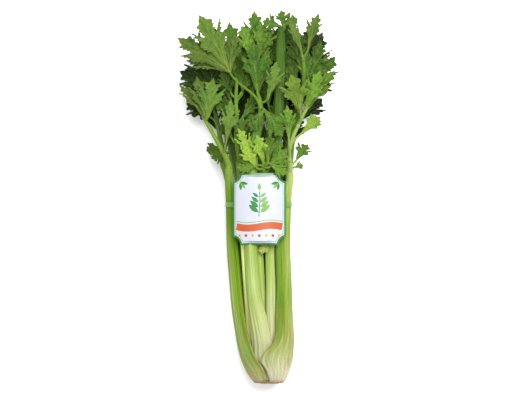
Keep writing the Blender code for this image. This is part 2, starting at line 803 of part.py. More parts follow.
def band(collection):
    """A narrow band drawn tight round the stalks, so its line is the convex outline of their sections."""
    points = []
    for name in STALKS:
        for y in (BAND_FROM, BAND_TO):
            points += [(p.x / MM, p.z / MM) for p in stalk_section(name, y)]
    outline = hull_outline(points)
    middle = Vector((sum(x for x, _ in outline), sum(z for _, z in outline))) / len(outline)
    inner, outer = [], []
    for x, z in outline:
        out = (Vector((x, z)) - middle).normalized()
        inner.append(Vector((x, z)) + out * 2 * GAP)
        outer.append(Vector((x, z)) + out * (2 * GAP + BAND_THICK))
    rings = [(inner, BAND_FROM), (outer, BAND_FROM), (outer, BAND_TO), (inner, BAND_TO)]
    bm = bmesh.new()
    levels = [[bm.verts.new(Vector((p.x, y, p.y)) * MM) for p in ring] for ring, y in rings]
    for low, high in zip(levels, levels[1:] + levels[:1]):
        for k in range(len(outline)):
            after = (k + 1) % len(outline)
            bm.faces.new((low[k], low[after], high[after], high[k]))
    bmesh.ops.recalc_face_normals(bm, faces=bm.faces)
    mesh = bpy.data.meshes.new("band")
    bm.to_mesh(mesh)
    bm.free()
    made = bpy.data.objects.new("band", mesh)
    made.data.materials.append(material("band", 0.35))
    collection.objects.link(made)


def label_half_width(y):
    """Half the label's width at a distance y from its middle: a plaque whose corners are scooped out."""
    into = abs(y) - (LABEL_HALF_LENGTH - LABEL_SCOOP)
    if into <= 0:
        return LABEL_HALF_WIDTH
    return LABEL_HALF_WIDTH - math.sqrt(max(LABEL_SCOOP**2 - (LABEL_SCOOP - into) ** 2, 0.0))


def label(collection):
    """A card that bends over the front of the bunch."""
    scoop = LABEL_HALF_LENGTH - LABEL_SCOOP
    ends = [scoop + LABEL_SCOOP * share for share in LABEL_SCOOP_STEPS]
    levels = [-y for y in reversed(ends)] + [0.0] + ends
    mesh = bpy.data.meshes.new("label")
    points, faces = [], []
    for y in levels:
        half = label_half_width(y)
        for k in range(LABEL_COLUMNS + 1):
            x = half * (2 * k / LABEL_COLUMNS - 1)
            turn = x / LABEL_BEND_RADIUS
            points.append(
                Vector(
                    (
                        LABEL_X + LABEL_BEND_RADIUS * math.sin(turn),
                        LABEL_Y + y,
                        LABEL_TOP + LABEL_RISE * y - LABEL_BEND_RADIUS * (1 - math.cos(turn)),
                    )
                )
                * MM
            )
    for row in range(len(levels) - 1):
        for k in range(LABEL_COLUMNS):
            low = row * (LABEL_COLUMNS + 1) + k
            high = low + LABEL_COLUMNS + 1
            faces.append((low, low + 1, high + 1, high))
    mesh.from_pydata(points, [], faces)
    made = bpy.data.objects.new("label", mesh)
    card = made.modifiers.new("thickness", "SOLIDIFY")
    card.thickness = LABEL_THICK * MM
    card.offset = 1.0
    made.data.materials.append(material("label", 0.4))
    collection.objects.link(made)


def rest_on_origin(collection):
    """Moves the whole head so that the middle of its box's underside is the origin."""
    bpy.context.view_layer.update()
    graph = bpy.context.evaluated_depsgraph_get()
    corners = []
    for obj in collection.objects:
        solid = obj.evaluated_get(graph)
        corners += [solid.matrix_world @ vertex.co for vertex in solid.data.vertices]
    low = Vector(min(corner[axis] for corner in corners) for axis in range(3))
    high = Vector(max(corner[axis] for corner in corners) for axis in range(3))
    middle = (low + high) / 2
    for obj in collection.objects:
        obj.location -= Vector((middle.x, middle.y, low.z))


def main():
    clear_scene()
    celery = bpy.data.collections.new("celery")
    bpy.context.scene.collection.children.link(celery)
    crown(celery)
    for name in STALKS:
        stalk(name, celery)
        frond(name, *FRONDS[name], celery)
    band(celery)
    label(celery)
    rest_on_origin(celery)


main()
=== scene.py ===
"""Looks for the head of celery: finer pieces that keep the solids' forms, with materials, light and camera.

The tables are in the millimetres that the solids were drawn in, and placed() turns such a point into the
frame's metres. +Y runs from the cut base to the leaf tips, and +Z is up from the floor under the head.
"""

import math
import random
import bpy
from mathutils import Matrix, Vector, noise
from mathutils.geometry import delaunay_2d_cdt
from mathutils.kdtree import KDTree


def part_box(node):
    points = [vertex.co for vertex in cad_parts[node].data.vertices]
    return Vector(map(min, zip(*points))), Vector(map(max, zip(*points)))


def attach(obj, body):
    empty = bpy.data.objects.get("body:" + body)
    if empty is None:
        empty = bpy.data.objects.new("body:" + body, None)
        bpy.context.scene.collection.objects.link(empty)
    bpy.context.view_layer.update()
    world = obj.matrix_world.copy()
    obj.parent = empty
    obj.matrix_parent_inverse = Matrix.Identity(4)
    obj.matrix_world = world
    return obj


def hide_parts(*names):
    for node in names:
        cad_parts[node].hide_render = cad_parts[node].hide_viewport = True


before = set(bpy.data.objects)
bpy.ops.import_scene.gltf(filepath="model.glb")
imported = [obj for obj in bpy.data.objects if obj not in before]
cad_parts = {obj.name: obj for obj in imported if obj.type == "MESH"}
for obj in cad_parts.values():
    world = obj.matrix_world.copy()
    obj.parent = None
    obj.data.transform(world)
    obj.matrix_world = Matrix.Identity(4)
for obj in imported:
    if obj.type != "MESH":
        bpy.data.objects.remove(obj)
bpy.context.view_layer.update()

MM = 0.001
GAP = 0.3
SEED = 7

# The outline of the bunch of stalks: y, centre x, half width, centre z, half depth.
BUNCH = (
    (-222, 16.0, 17.0, 30.0, 14.5),
    (-216, 15.2, 22.0, 30.0, 19.4),
    (-206, 14.2, 27.2, 30.4, 25.4),
    (-190, 12.8, 32.4, 31.6, 30.6),
    (-165, 11.0, 36.5, 33.2, 34.0),
    (-120, 7.5, 39.0, 34.6, 35.6),
    (-60, 4.6, 40.6, 35.6, 36.0),
    (-7, 4.0, 42.5, 36.9, 35.2),
    (60, 2.0, 48.5, 36.8, 38.0),
    (120, 2.0, 53.0, 37.0, 38.5),
    (200, 3.0, 58.0, 36.5, 37.0),
)

# Each stalk: y, angle, reach, width round the bunch, thickness, and how far its rims curl in.
STALKS = {
    "left": (
        (-221, 143, 1.00, 25, 3.4, 0.2),
        (-206, 145.5, 1.00, 43, 4.4, 0.4),
        (-188, 154, 1.00, 42, 5.4, 1.0),
        (-150, 160, 1.00, 37, 7.0, 2.5),
        (-100, 162, 1.00, 32, 8.0, 4.0),
        (-40, 163, 1.00, 26, 8.0, 5.0),
        (0, 158, 1.00, 20, 8.0, 5.0),
        (36, 147, 1.00, 12, 7.5, 2.5),
    ),
    "right": (
        (-221, 42, 1.00, 26, 3.4, 0.2),
        (-206, 42, 1.00, 48, 4.4, 0.4),
        (-190, 47, 1.00, 62, 4.8, 0.4),
        (-168, 34, 1.00, 46, 6.5, 2.0),
        (-140, 32, 1.00, 40, 8.0, 4.0),
        (-100, 29, 1.00, 35, 9.0, 5.0),
        (-40, 30, 1.00, 31, 9.0, 6.0),
        (0, 28, 1.00, 22, 8.0, 5.0),
        (28, 23, 1.00, 12, 7.5, 2.5),
    ),
    "centre": (
        (-217, 98, 0.80, 18, 2.8, 0.2),
        (-206, 100, 0.79, 29, 3.6, 0.2),
        (-192, 102, 0.77, 32, 3.8, 0.3),
        (-180, 101, 0.78, 30, 4.4, 1.0),
        (-169, 100, 0.86, 27, 6.0, 2.4),
        (-139, 103.5, 0.97, 25, 8.5, 5.0),
        (-109, 108, 1.00, 21, 9.0, 6.0),
        (-48, 109, 1.00, 18, 9.0, 5.5),
        (0, 106, 1.00, 16, 8.5, 4.5),
        (60, 96, 0.99, 12, 8.0, 3.0),
        (100, 85, 0.97, 10, 7.0, 2.0),
    ),
    "back_left": (
        (-221, 240, 1.00, 19, 3.4, 0.2),
        (-206, 237, 1.00, 33, 4.4, 0.4),
        (-190, 237, 1.00, 39, 5.0, 0.8),
        (-150, 242, 1.05, 36, 7.0, 3.0),
        (-100, 246, 1.09, 32, 8.0, 4.0),
        (-40, 246, 1.07, 28, 8.0, 4.5),
        (-7, 246, 1.03, 24, 8.0, 4.0),
        (12, 246, 1.10, 22, 8.0, 3.0),
        (28, 244, 1.13, 20, 8.0, 2.5),
        (66, 224, 1.00, 11, 7.5, 2.5),
    ),
    "back_right": (
        (-221, 308, 1.00, 18, 3.4, 0.2),
        (-206, 311, 1.00, 30.5, 4.4, 0.4),
        (-190, 312, 1.00, 35, 5.0, 0.8),
        (-150, 301, 1.05, 34, 7.0, 3.0),
        (-100, 296, 1.09, 31, 8.0, 4.0),
        (-40, 296, 1.07, 27, 8.0, 4.5),
        (-7, 296, 1.03, 24, 8.0, 4.0),
        (12, 294, 1.12, 22, 8.0, 3.0),
        (28, 296, 1.13, 20, 8.0, 2.5),
        (60, 318, 1.00, 11, 7.5, 2.5),
    ),
    "inner_left": (
        (-212, 138, 0.63, 13, 2.8, 0.2),
        (-192, 140, 0.64, 19, 3.6, 0.4),
        (-150, 137, 0.70, 19, 6.0, 2.5),
        (-100, 133, 0.73, 17, 6.5, 3.5),
        (-40, 133, 0.76, 15, 6.5, 3.5),
        (44, 131, 0.80, 11, 7.0, 2.0),
    ),
    "side_left": (
        (-212, 208, 0.66, 14, 2.8, 0.2),
        (-192, 208, 0.70, 21, 4.0, 0.5),
        (-150, 205, 0.74, 21, 6.0, 2.5),
        (-100, 202, 0.75, 19, 6.5, 3.5),
        (-40, 201, 0.78, 17, 6.5, 3.5),
        (20, 190, 0.92, 13, 7.0, 3.0),
        (48, 186, 0.98, 11, 7.5, 2.0),
    ),
    "inner_back": (
        (-212, 272, 0.66, 14, 2.8, 0.2),
        (-192, 272, 0.70, 21, 4.0, 0.5),
        (-150, 272, 0.72, 21, 6.0, 2.5),
        (-100, 272, 0.72, 19, 6.5, 3.5),
        (-40, 272, 0.72, 17, 6.5, 3.5),
        (20, 271, 0.74, 13, 7.0, 3.0),
        (80, 269, 0.72, 10, 7.0, 2.0),
    ),
    "side_right": (
        (-212, 340, 0.66, 14, 2.8, 0.2),
        (-192, 338, 0.70, 20, 4.0, 0.5),
        (-150, 342, 0.74, 20, 6.0, 2.5),
        (-100, 345, 0.75, 18, 6.5, 3.5),
        (-40, 346, 0.78, 16, 6.5, 3.5),
        (20, 352, 0.88, 13, 7.0, 3.0),
        (80, 365, 0.92, 11, 7.5, 2.5),
    ),
    "inner_right": (
        (-212, 64, 0.63, 13, 2.8, 0.2),
        (-192, 66, 0.64, 19, 3.6, 0.4),
        (-150, 64, 0.71, 18, 6.0, 2.5),
        (-110, 62, 0.75, 16, 6.5, 3.5),
        (-48, 60, 0.74, 13.5, 7.0, 3.5),
        (20, 55, 0.83, 12.5, 7.5, 3.0),
        (100, 52, 0.88, 12.5, 8.0, 2.5),
        (196, 52, 0.85, 12, 8.0, 2.5),
    ),
    "heart_front": (
        (-203, 95, 0.44, 11, 2.8, 0.2),
        (-190, 95, 0.48, 15, 3.6, 0.4),
        (-150, 93, 0.50, 13, 5.0, 1.5),
        (-100, 92, 0.58, 11.5, 5.5, 2.5),
        (-40, 92, 0.68, 10.5, 6.0, 2.5),
        (-5, 81, 0.84, 10, 6.0, 2.5),
        (24, 80, 0.90, 9, 6.5, 2.0),
    ),
    "heart_left": (
        (-203, 214, 0.44, 11, 2.8, 0.2),
        (-190, 214, 0.48, 15, 3.6, 0.4),
        (-150, 213, 0.46, 13, 5.0, 1.5),
        (-100, 212, 0.44, 12, 5.5, 2.5),
        (-40, 208, 0.42, 11, 6.0, 2.5),
        (40, 160, 0.36, 10, 6.0, 2.5),
        (120, 112, 0.40, 9, 6.5, 2.0),
    ),
    "heart_right": (
        (-203, 334, 0.44, 11, 2.8, 0.2),
        (-190, 334, 0.48, 15, 3.6, 0.4),
        (-150, 335, 0.46, 13, 5.0, 1.5),
        (-100, 335, 0.44, 12, 5.5, 2.5),
        (-40, 330, 0.42, 11, 6.0, 2.5),
        (40, 345, 0.34, 10, 6.0, 2.5),
        (88, 360, 0.36, 9, 6.5, 2.0),
    ),
}

# Each frond's midrib: its points beyond the stalk.
MIDRIBS = {
    "centre": ((5, 116, 69), (2, 126, 66)),
    "left": ((-37, 52, 57), (-47, 70, 59), (-60, 93, 58)),
    "right": ((40, 42, 54), (39, 57, 58), (44, 74, 60), (57, 102, 59)),
    "side_left": ((-43, 72, 32), (-48, 100, 35), (-55, 128, 38)),
    "inner_left": ((-23, 70, 57), (-23, 92, 56), (-24, 118, 54), (-23, 142, 50)),
    "back_left": ((-37, 88, 17), (-41, 116, 16), (-46, 142, 14)),
    "inner_back": ((0, 104, 14), (1, 126, 15), (0, 146, 15)),
    "back_right": ((42, 84, 17), (47, 108, 16), (54, 130, 19)),
    "side_right": ((50, 100, 42), (55, 126, 56), (57, 150, 66), (56, 168, 68)),
    "inner_right": ((33, 204, 57), (33, 208, 57)),
    "heart_front": ((9, 34, 69), (9, 42, 73)),
    "heart_left": ((-3, 140, 48), (0, 164, 50)),
    "heart_right": ((24, 120, 38), (25, 144, 38), (28, 168, 38)),
}

# Each frond's sprays: the share of the midrib where the stem leaves, the point where the blades start,
# which is the midrib's end where none is given, and the blades: the tip's x, y and z, width, roll, bow,
# fold and depth of the cuts. A row that is shorter takes the rest from the usual bow, fold and cuts.
USUAL_FORM = (0.06, 0.16, 0.3)
SPRAYS = {
    "centre": (
        (0.15, (-31, 150, 75), (-94, 192, 64, 36, 14, 0.06, 0.12, 0.2),
         (-68, 219, 68, 38, 4, 0.05, 0.12), (-26, 196, 66, 27, -14),
         (-84, 165, 60, 20, 30, 0.08, 0.20, 0.2)),
        (0.40, (13, 118, 75), (24, 163, 79, 25, 34, 0.03, 0.18)),
        (0.10, (10, 106, 78), (32, 74, 77, 30, -12, 0.10, 0.18, 0.1),
         (-7, 80, 79, 22, 12, 0.10, 0.18, 0.2)),
        (1.00, None, (-3, 187, 64, 34, -6, 0.05, 0.14), (14, 172, 66, 22, -12, 0.05, 0.14)),
    ),
    "left": (
        (1.00, None, (-51, 145, 54, 32, 10, 0.06, 0.18, 0.4), (-71, 147, 52, 24, 6, 0.06, 0.18, 0.4),
         (-92, 137, 44, 24, 44, 0.06, 0.24)),
        (0.40, (-36, 66, 66), (-30, 119, 70, 22, 16, 0.05, 0.22, 0.7)),
    ),
    "right": (
        (1.00, None, (94, 155, 50, 26, -30, 0.04, 0.26), (77, 154, 56, 23, 8)),
        (0.88, (53, 101, 67), (41, 148, 70, 34, 8, 0.06, 0.16, 0.4)),
        (0.60, (54, 78, 52), (78, 99, 44, 20, -12, 0.08, 0.20, -0.6)),
        (0.20, (48, 46, 44), (63, 66, 36, 20, -20, 0.08, 0.20)),
        (0.35, (39, 70, 69), (37, 112, 71, 19, 16, 0.05, 0.22, 0.4)),
    ),
    "side_left": (
        (0.00, (-46, 62, 29), (-60, 58, 25, 17, 10, 0.05, 0.20, 0.2)),
        (0.45, (-54, 98, 38), (-84, 116, 32, 26, 10, 0.06, 0.18)),
        (0.35, (-40, 90, 36), (-33, 136, 38, 31, 10, 0.06, 0.18)),
        (1.00, None, (-74, 180, 36, 34, -8), (-92, 154, 30, 28, 14, 0.06, 0.16, 0.2),
         (-52, 170, 40, 24, 8)),
    ),
    "inner_left": (
        (0.15, (-20, 62, 64), (-15, 98, 65, 17, 4, 0.05, 0.20, 0.4)),
        (0.45, (-31, 94, 53), (-44, 125, 47, 24, 10, 0.06, 0.18)),
        (0.75, (-16, 128, 53), (-15, 172, 49, 28, -12, 0.05)),
        (1.00, None, (-32, 213, 44, 30, 10, 0.06, 0.16, 0.4), (-14, 203, 43, 26, -14),
         (-48, 196, 44, 24, 10)),
    ),
    "back_left": (
        (0.25, (-26, 82, 17), (-15, 124, 21, 36, -6, 0.05, 0.14)),
        (0.20, (-47, 84, 20), (-66, 118, 22, 27, 6, 0.05, 0.14)),
        (0.55, (-54, 120, 17), (-86, 158, 10, 36, 10, 0.05, 0.14),
         (-32, 160, 24, 34, 0, 0.05, 0.14, 0.2)),
        (0.75, (-35, 134, 12), (-20, 180, 5, 34, -8, 0.05, 0.14)),
        (1.00, None, (-50, 208, 9, 40, 6, 0.05, 0.14, 0.4), (-76, 192, 8, 30, 6, 0.05, 0.14, 0.4)),
    ),
    "inner_back": (
        (0.20, (11, 98, 17), (20, 138, 22, 30, -8, 0.05, 0.14), (-12, 148, 26, 36, 0, 0.05, 0.14, 0.2)),
        (0.75, (10, 136, 15), (30, 178, 8, 32, -8, 0.05, 0.14)),
        (1.00, None, (5, 213, 16, 38, -6, 0.05, 0.14, 0.4), (-20, 200, 15, 30, 10, 0.05, 0.14)),
    ),
    "back_right": (
        (0.20, (32, 82, 13), (22, 122, 8, 32, 6, 0.05, 0.14), (40, 134, 16, 34, 0, 0.05, 0.14, 0.2)),
        (0.40, (54, 96, 16), (80, 122, 10, 28, -6, 0.05, 0.14)),
        (0.85, (58, 122, 16), (90, 148, 9, 30, -10, 0.05, 0.14)),
        (0.70, (44, 124, 11), (44, 172, 4, 34, -6, 0.05, 0.14), (24, 180, 24, 34, 0, 0.05, 0.14, 0.2)),
        (1.00, None, (80, 202, 24, 38, -8, 0.06, 0.16, 0.6), (56, 198, 19, 28, 10, 0.05, 0.14)),
    ),
    "side_right": (
        (1.00, None, (38, 214, 72, 16, 40, 0.03, 0.36, 0.2)),
        (0.95, (62, 178, 69), (75, 221, 70, 21, -30, 0.04, 0.34, 0.2)),
        (0.45, (48, 134, 50), (38, 174, 46, 26, 14, 0.05)),
        (0.35, (62, 128, 42), (95, 172, 38, 32, -10, 0.06, 0.16, 0.6),
         (78, 190, 40, 28, 0, 0.06, 0.16, 0.4), (60, 176, 46, 24, 10)),
    ),
    "inner_right": (
        (0.50, (28, 206, 59), (8, 212, 60, 22, 12, 0.06, 0.20)),
        (1.00, None, (50, 216, 54, 22, -14, 0.06, 0.20), (30, 225, 62, 18, 6, 0.06, 0.20)),
    ),
    "heart_front": (
        (1.00, None, (1, 76, 79, 22, 16, 0.05, 0.20, 0.4)),
        (0.80, (14, 42, 76), (17, 78, 77, 19, -14, 0.05, 0.20, 0.4)),
        (0.65, (16, 38, 75), (37, 58, 71, 28, -12, 0.06, 0.16, 0.4)),
        (0.55, (1, 37, 77), (-15, 64, 78, 22, 14, 0.06, 0.18, 0.4),
         (-22, 85, 71, 18, 10, 0.04, 0.18, 0.4)),
    ),
    "heart_left": (
        (0.30, (-13, 138, 42), (-40, 163, 33, 30, 6, 0.05)),
        (0.85, (4, 170, 55), (17, 207, 58, 24, -12, 0.05, 0.18, 0.4),
         (6, 213, 60, 20, 6, 0.05, 0.18, 0.4)),
        (0.75, (-5, 166, 54), (-17, 207, 59, 24, 14, 0.05, 0.18, 0.4)),
        (1.00, None, (-2, 226, 50, 28, 4, 0.05, 0.16, 0.4)),
    ),
    "heart_right": (
        (0.30, (34, 116, 38), (50, 148, 32, 28, -10, 0.05, 0.16, 0.4)),
        (0.20, (15, 112, 42), (12, 148, 41, 25, 10, 0.05, 0.16, 0.4)),
        (0.80, (38, 160, 36), (58, 198, 32, 28, -10, 0.05, 0.16, 0.4)),
        (1.00, None, (36, 214, 38, 30, -6, 0.05, 0.16, 0.4), (18, 204, 40, 24, 10, 0.05, 0.16, 0.4)),
    ),
}

# Small leaves that fill the gaps, most in the dark tone that is partly painted shade: share, base, tone and
# blades. Those with the share 1.00 have no stem.
SMALL_SPRAYS = {
    "inner_back": (
        (0.15, (8, 92, 24), "dark", (13, 54, 27, 24, 6)),
        (0.30, (-8, 104, 20), "dark", (-22, 138, 22, 26, 6)),
    ),
    "heart_right": (
        (0.90, (24, 160, 34), "mid", (11, 188, 33, 24, -8)),
        (0.95, (32, 184, 34), "dark", (38, 217, 36, 24, -8)),
        (0.70, (34, 150, 30), "dark", (41, 192, 28, 26, 8)),
        (0.05, (14, 84, 34), "dark", (6, 58, 36, 20, 8)),
    ),
    "side_left": (
        (0.60, (-42, 104, 30), "dark", (-24, 144, 29, 26, 8)),
        (0.05, (-36, 62, 33), "dark", (-29, 100, 37, 22, -8)),
        (0.05, (-42, 62, 38), "bright", (-59, 57, 37, 19, 8, 0.05, 0.20, 0.2)),
        (0.02, (-34, 56, 40), "bright", (-54, 49, 38, 20, 8, 0.05, 0.20, 0.2)),
    ),
    "back_left": (
        (0.10, (-26, 74, 20), "dark", (-13, 110, 26, 26, 6)),
        (0.45, (-38, 112, 22), "dark", (-44, 150, 26, 28, 6)),
    ),
    "back_right": (
        (0.05, (36, 68, 20), "dark", (22, 104, 28, 26, 6)),
        (0.05, (44, 66, 18), "dark", (53, 100, 24, 24, -6)),
        (0.50, (54, 112, 24), "dark", (62, 150, 30, 28, -6)),
        (0.90, (60, 152, 28), "dark", (67, 208, 27, 30, -6)),
    ),
    "side_right": (
        (1.00, (37, 6, 36), "mid", (33, 46, 40, 20, 0)),
        (0.80, (54, 156, 54), "dark", (43, 196, 46, 26, 10)),
        (0.25, (46, 116, 44), "dark", (36, 150, 42, 24, 10)),
    ),
    "inner_left": (
        (0.10, (-15, 62, 52), "mid", (-3, 96, 50, 22, -6)),
        (0.60, (-30, 116, 48), "dark", (-40, 156, 44, 26, 6)),
    ),
    "heart_left": (
        (0.60, (4, 156, 44), "mid", (24, 186, 40, 26, -6)),
        (0.40, (-10, 146, 36), "dark", (-30, 190, 34, 28, 6)),
    ),
    "right": (
        (0.12, (46, 38, 42), "bright", (57, 41, 38, 11, -20, 0.06, 0.20, 0.2)),
    ),
    "heart_front": (
        (0.60, (16, 42, 77), "bright", (38, 29, 74, 17, 4, 0.05, 0.20, 0.4)),
        (0.50, (4, 40, 77), "bright", (-24, 37, 74, 16, -4, 0.05, 0.20, 0.4)),
        # Two sprouts under the label, whose colour carries painted light.
        (1.00, (10, -50, 61), "sprout", (6, -67, 62, 9, 10, 0.06, 0.20, 0.4)),
        (1.00, (10, -50, 61), "sprout", (13, -65, 61, 8, -10, 0.06, 0.20, 0.4)),
        (0.20, (3, 35, 67), "bright", (-23, 50, 62, 22, 12, 0.08, 0.18),
         (-12, 66, 66, 22, 8, 0.08, 0.18)),
        (0.30, (15, 35, 67), "bright", (38, 43, 60, 20, -12, 0.08, 0.18),
         (28, 72, 64, 24, -8, 0.08, 0.18), (8, 66, 68, 22, 0, 0.08, 0.18)),
    ),
}

# Leaflets along the midribs deep in the head: the sides they stand on, and the shares of the midrib.
LEAFLET_SIDES = {
    "side_left": (1,),
    "inner_left": (-1, 1),
    "back_left": (1,),
    "inner_back": (-1, 1),
    "back_right": (-1,),
    "side_right": (-1,),
    "heart_left": (-1, 1),
    "heart_right": (-1, 1),
}
LEAFLET_SHARES = (0.3, 0.55, 0.8)

# A leaflet, from and to: its foot's height over the midrib, its tip's way from there, its width and roll.
# Its bow and fold are the same everywhere.
LEAFLET_FOOT, LEAFLET_TIP = (-2, 3), ((10, 20), (20, 30), (-8, 8))
LEAFLET_WIDTH, LEAFLET_ROLL, LEAFLET_BEND = (14, 19), (25, 60), (0.06, 0.30)

# One side of a blade's outline, as shares of its length and of its width, from the base towards the tip.
# A deeper cut moves its corner, and every corner from the lobe on is moved at random up to the spread.
BLADE_BASE = ((0.00, 0.03), (0.40, 0.22))
BLADE_LOBE = ((0.56, 0.45), (0.61, 0.37), (0.79, 0.50))
BLADE_CUT = (0.72, 0.27)
BLADE_TOP = ((0.86, 0.27), (0.87, 0.13))
BLADE_CUT_MOVES = (-0.24, -0.18)
BLADE_SPREAD = 0.02

# The outer stalks, the broad ribs of those and of the others, and the thickness of the rims as a share.
OUTER_STALKS = ("left", "right", "centre", "back_left", "back_right")
OUTER_RIBS, INNER_RIBS = 5, 3
RIM_SHARE = 0.42

# A midrib: its first radius as a share of the stalk's width, its last one, its steps and sides, the depth
# of its grooves, and how deep its first points stand in the stalk.
MIDRIB_SHARE, MIDRIB_END = 0.40, 2.0
MIDRIB_STEPS, MIDRIB_SIDES, MIDRIB_GROOVES = 30, 18, 0.07
MIDRIB_SINKS = (4.0, 2.0, GAP)

# A spray's stem: its radii at both ends, what its foot adds, its steps, how far it runs into the leaves,
# its sides, its grooves and how much painted shade darkens them, the least height of any stem and their
# colour.
STEM_RADII, STEM_FOOT = (2.1, 1.1), 0.7
STEM_STEPS, STEM_SINKS = 18, 0.14
STEM_SIDES, STEM_GROOVES, GROOVE_SHADE = 12, 0.05, 0.10
STEM_FLOOR = 0.3
STEM_COLOUR = "#86a840"

# The stalks' finer sections: the points across the outer side, by whether the stalk is an outer one, those
# across the inner side, where both sides end, and the rims between them. Then the depth of the broad ribs, the
# number and depth of the fine ones, and the steps between sections, which are smaller up to the flare's end.
OUTER_POINTS = {True: 61, False: 41}
INNER_POINTS = 15
OUTER_EDGE, INNER_EDGE = 0.965, 0.94
RIM_POINTS = ((0.992, 0.22), (1.0, 0.5), (0.985, 0.78))
RIB_DEPTH_SHARE = 0.020
FINE_RIBS = {True: 13, False: 7}
FINE_RIB_DEPTH = 0.14
STALK_STEP, FLARE_STEP, FLARE_END = 4.0, 2.0, -188

# Near its upper end a stalk rounds into its frond over one length, and its tone zones fade over another.
JOINT_LENGTH, FADE_LENGTH = 18.0, 60.0

# Edges of the stalks and of the label are shaded sharp from these angles up.
STALK_SHARP, LABEL_SHARP = 50, 40

# Half the width in millimetres that the streaks on a stalk take its section for.
PLANE_HALF_WIDTH = 14.0

# The lamp and the sky are brighter than white, so a surface throws back this share of its table colour.
LIT_SHARE = 0.37

# How much the skins of the stalks and of the leaves mirror.
STALK_GLOSS, LEAF_GLOSS = 0.06, 0.10

# Colours of the stalks from the cut base up: y and colour. Stalks that aren't listed take "others".
STALK_COLOURS = {
    "left": (
        (-222, "#a98450"), (-217, "#e4d8ac"), (-208, "#d2d486"), (-196, "#b4c866"), (-160, "#a6c24a"),
        (-120, "#9fc034"), (-50, "#88b024"), (0, "#80aa2a"), (40, "#8bb03c"),
    ),
    "right": (
        (-222, "#a98450"), (-217, "#fbf0d2"), (-205, "#f8f4ca"), (-185, "#c6ce84"), (-165, "#a8b658"),
        (-120, "#a0bc44"), (-50, "#a3bb49"), (0, "#b0c85e"), (25, "#c4da78"), (60, "#c2da7c"),
    ),
    "centre": (
        (-217, "#e8dcb4"), (-190, "#ecefc0"), (-155, "#dbe29c"), (-120, "#c2d87a"), (-60, "#a3c446"),
        (0, "#98bc42"), (60, "#74a034"), (120, "#63912c"),
    ),
    "inner_right": (
        (-212, "#eae6b4"), (-150, "#eaf0b4"), (-100, "#c4d97c"), (-50, "#b6d060"), (40, "#628f2a"),
        (110, "#4c751c"), (200, "#446c18"),
    ),
    "inner_left": (
        (-212, "#eee6b8"), (-190, "#eaf294"), (-60, "#dcec8e"), (-20, "#a9c848"), (44, "#7fa83a"),
    ),
    "others": (
        (-222, "#a98450"), (-216, "#dccfa0"), (-200, "#dcdca4"), (-150, "#c0d278"), (-100, "#aac858"),
        (-40, "#96b946"), (30, "#7fa83a"), (90, "#66932e"), (150, "#528224"), (230, "#4e7d22"),
    ),
}

# The colours that tone zones go towards, the cut's brown, and the most that either may cover.
PALE, DEEP = "#eaf0b8", "#5a8a20"
CUT_BROWN = "#bd8850"
MOST_TINT = 0.85

# How far a stalk's tone moves towards pale on its ribs and fine ribs, at its foot and on the ribs there, in
# cloudy patches and on its inner side.
RIB_TONE, FINE_RIB_TONE = 0.12, 0.16
FOOT_TONE, FOOT_RIB_TONE = 0.12, 0.08
CLOUD_TONE, INNER_TONE = 0.22, 0.10

# The foot's tone grows and ends between these heights. The tone zones grow from their least share between
# others, and among the leaves all tones lose a share.
FOOT_GROWS, FOOT_ENDS = (-219, -200), (-185, -110)
ZONES_GROW, LEAST_ZONE = (-205, -130), 0.35
TONES_FADE, FADE_SHARE = (20, 100), 0.7

# The thin pale ridges of a stalk: how many, and from and to for place across, half width and strength.
RIDGES = 7
RIDGE_RANGES = ((-0.9, 0.9), (0.012, 0.03), (0.15, 0.55))

# Brown at the cut end: its share, and the distances down the stalk that it grows between. Brown on the
# rims: its share, the places across that it grows between and the heights that it ends between. The last
# value is the half width of a stalk, for the width of its marks.
CUT_RUST, CUT_PLACES = 0.8, (217.5, 221.5)
RIM_RUST, RIM_PLACES, RIM_HEIGHTS = 0.65, (0.90, 0.965), (-175, -90)
SCAR_SPAN = 16

# Painted light on pale stalks in the shade deep between the others: a multiple of their colour that ends
# between two heights.
STALK_PAINTED_LIGHT = {"inner_left": 2.1, "heart_front": 1.2}
PAINTED_LIGHT_ENDS = (-20, 30)

# Broad tone zones across a stalk, partly its own paler and deeper bands and partly painted light and shade
# on its sides: place from one rim to the other, and share towards pale (+) or deep (-).
STALK_TONE_AND_LIGHT_ZONES = {
    "left": ((-1.0, -0.50), (-0.7, -0.25), (-0.45, 0.16), (-0.15, 0.0), (0.5, -0.08), (1.0, -0.30)),
    "right": ((-1.0, -0.10), (-0.5, 0.06), (0.1, 0.12), (0.35, 0.0), (0.55, -0.55), (1.0, -0.65)),
    "centre": ((-1.0, 0.0), (-0.5, 0.16), (-0.15, 0.20), (0.1, 0.02), (0.4, 0.12), (1.0, -0.10)),
    "inner_left": ((-1.0, 0.0), (1.0, 0.0)),
    "inner_right": ((-1.0, 0.0), (-0.3, 0.20), (0.4, 0.08), (1.0, -0.30)),
    "heart_front": ((-1.0, 0.0), (0.0, 0.30), (1.0, 0.0)),
    "others": ((-1.0, -0.25), (-0.3, 0.06), (0.2, 0.0), (1.0, -0.30)),
}

# The ribs of a stalk whose foot spreads sideways run on straight: y, angle of their middle, half width in
# degrees.
RIB_LINES = {
    "right": (
        (-221, 38, 40),
        (-206, 38, 46),
        (-188, 35, 42),
        (-168, 33, 38),
        (-140, 32, 33),
    ),
}

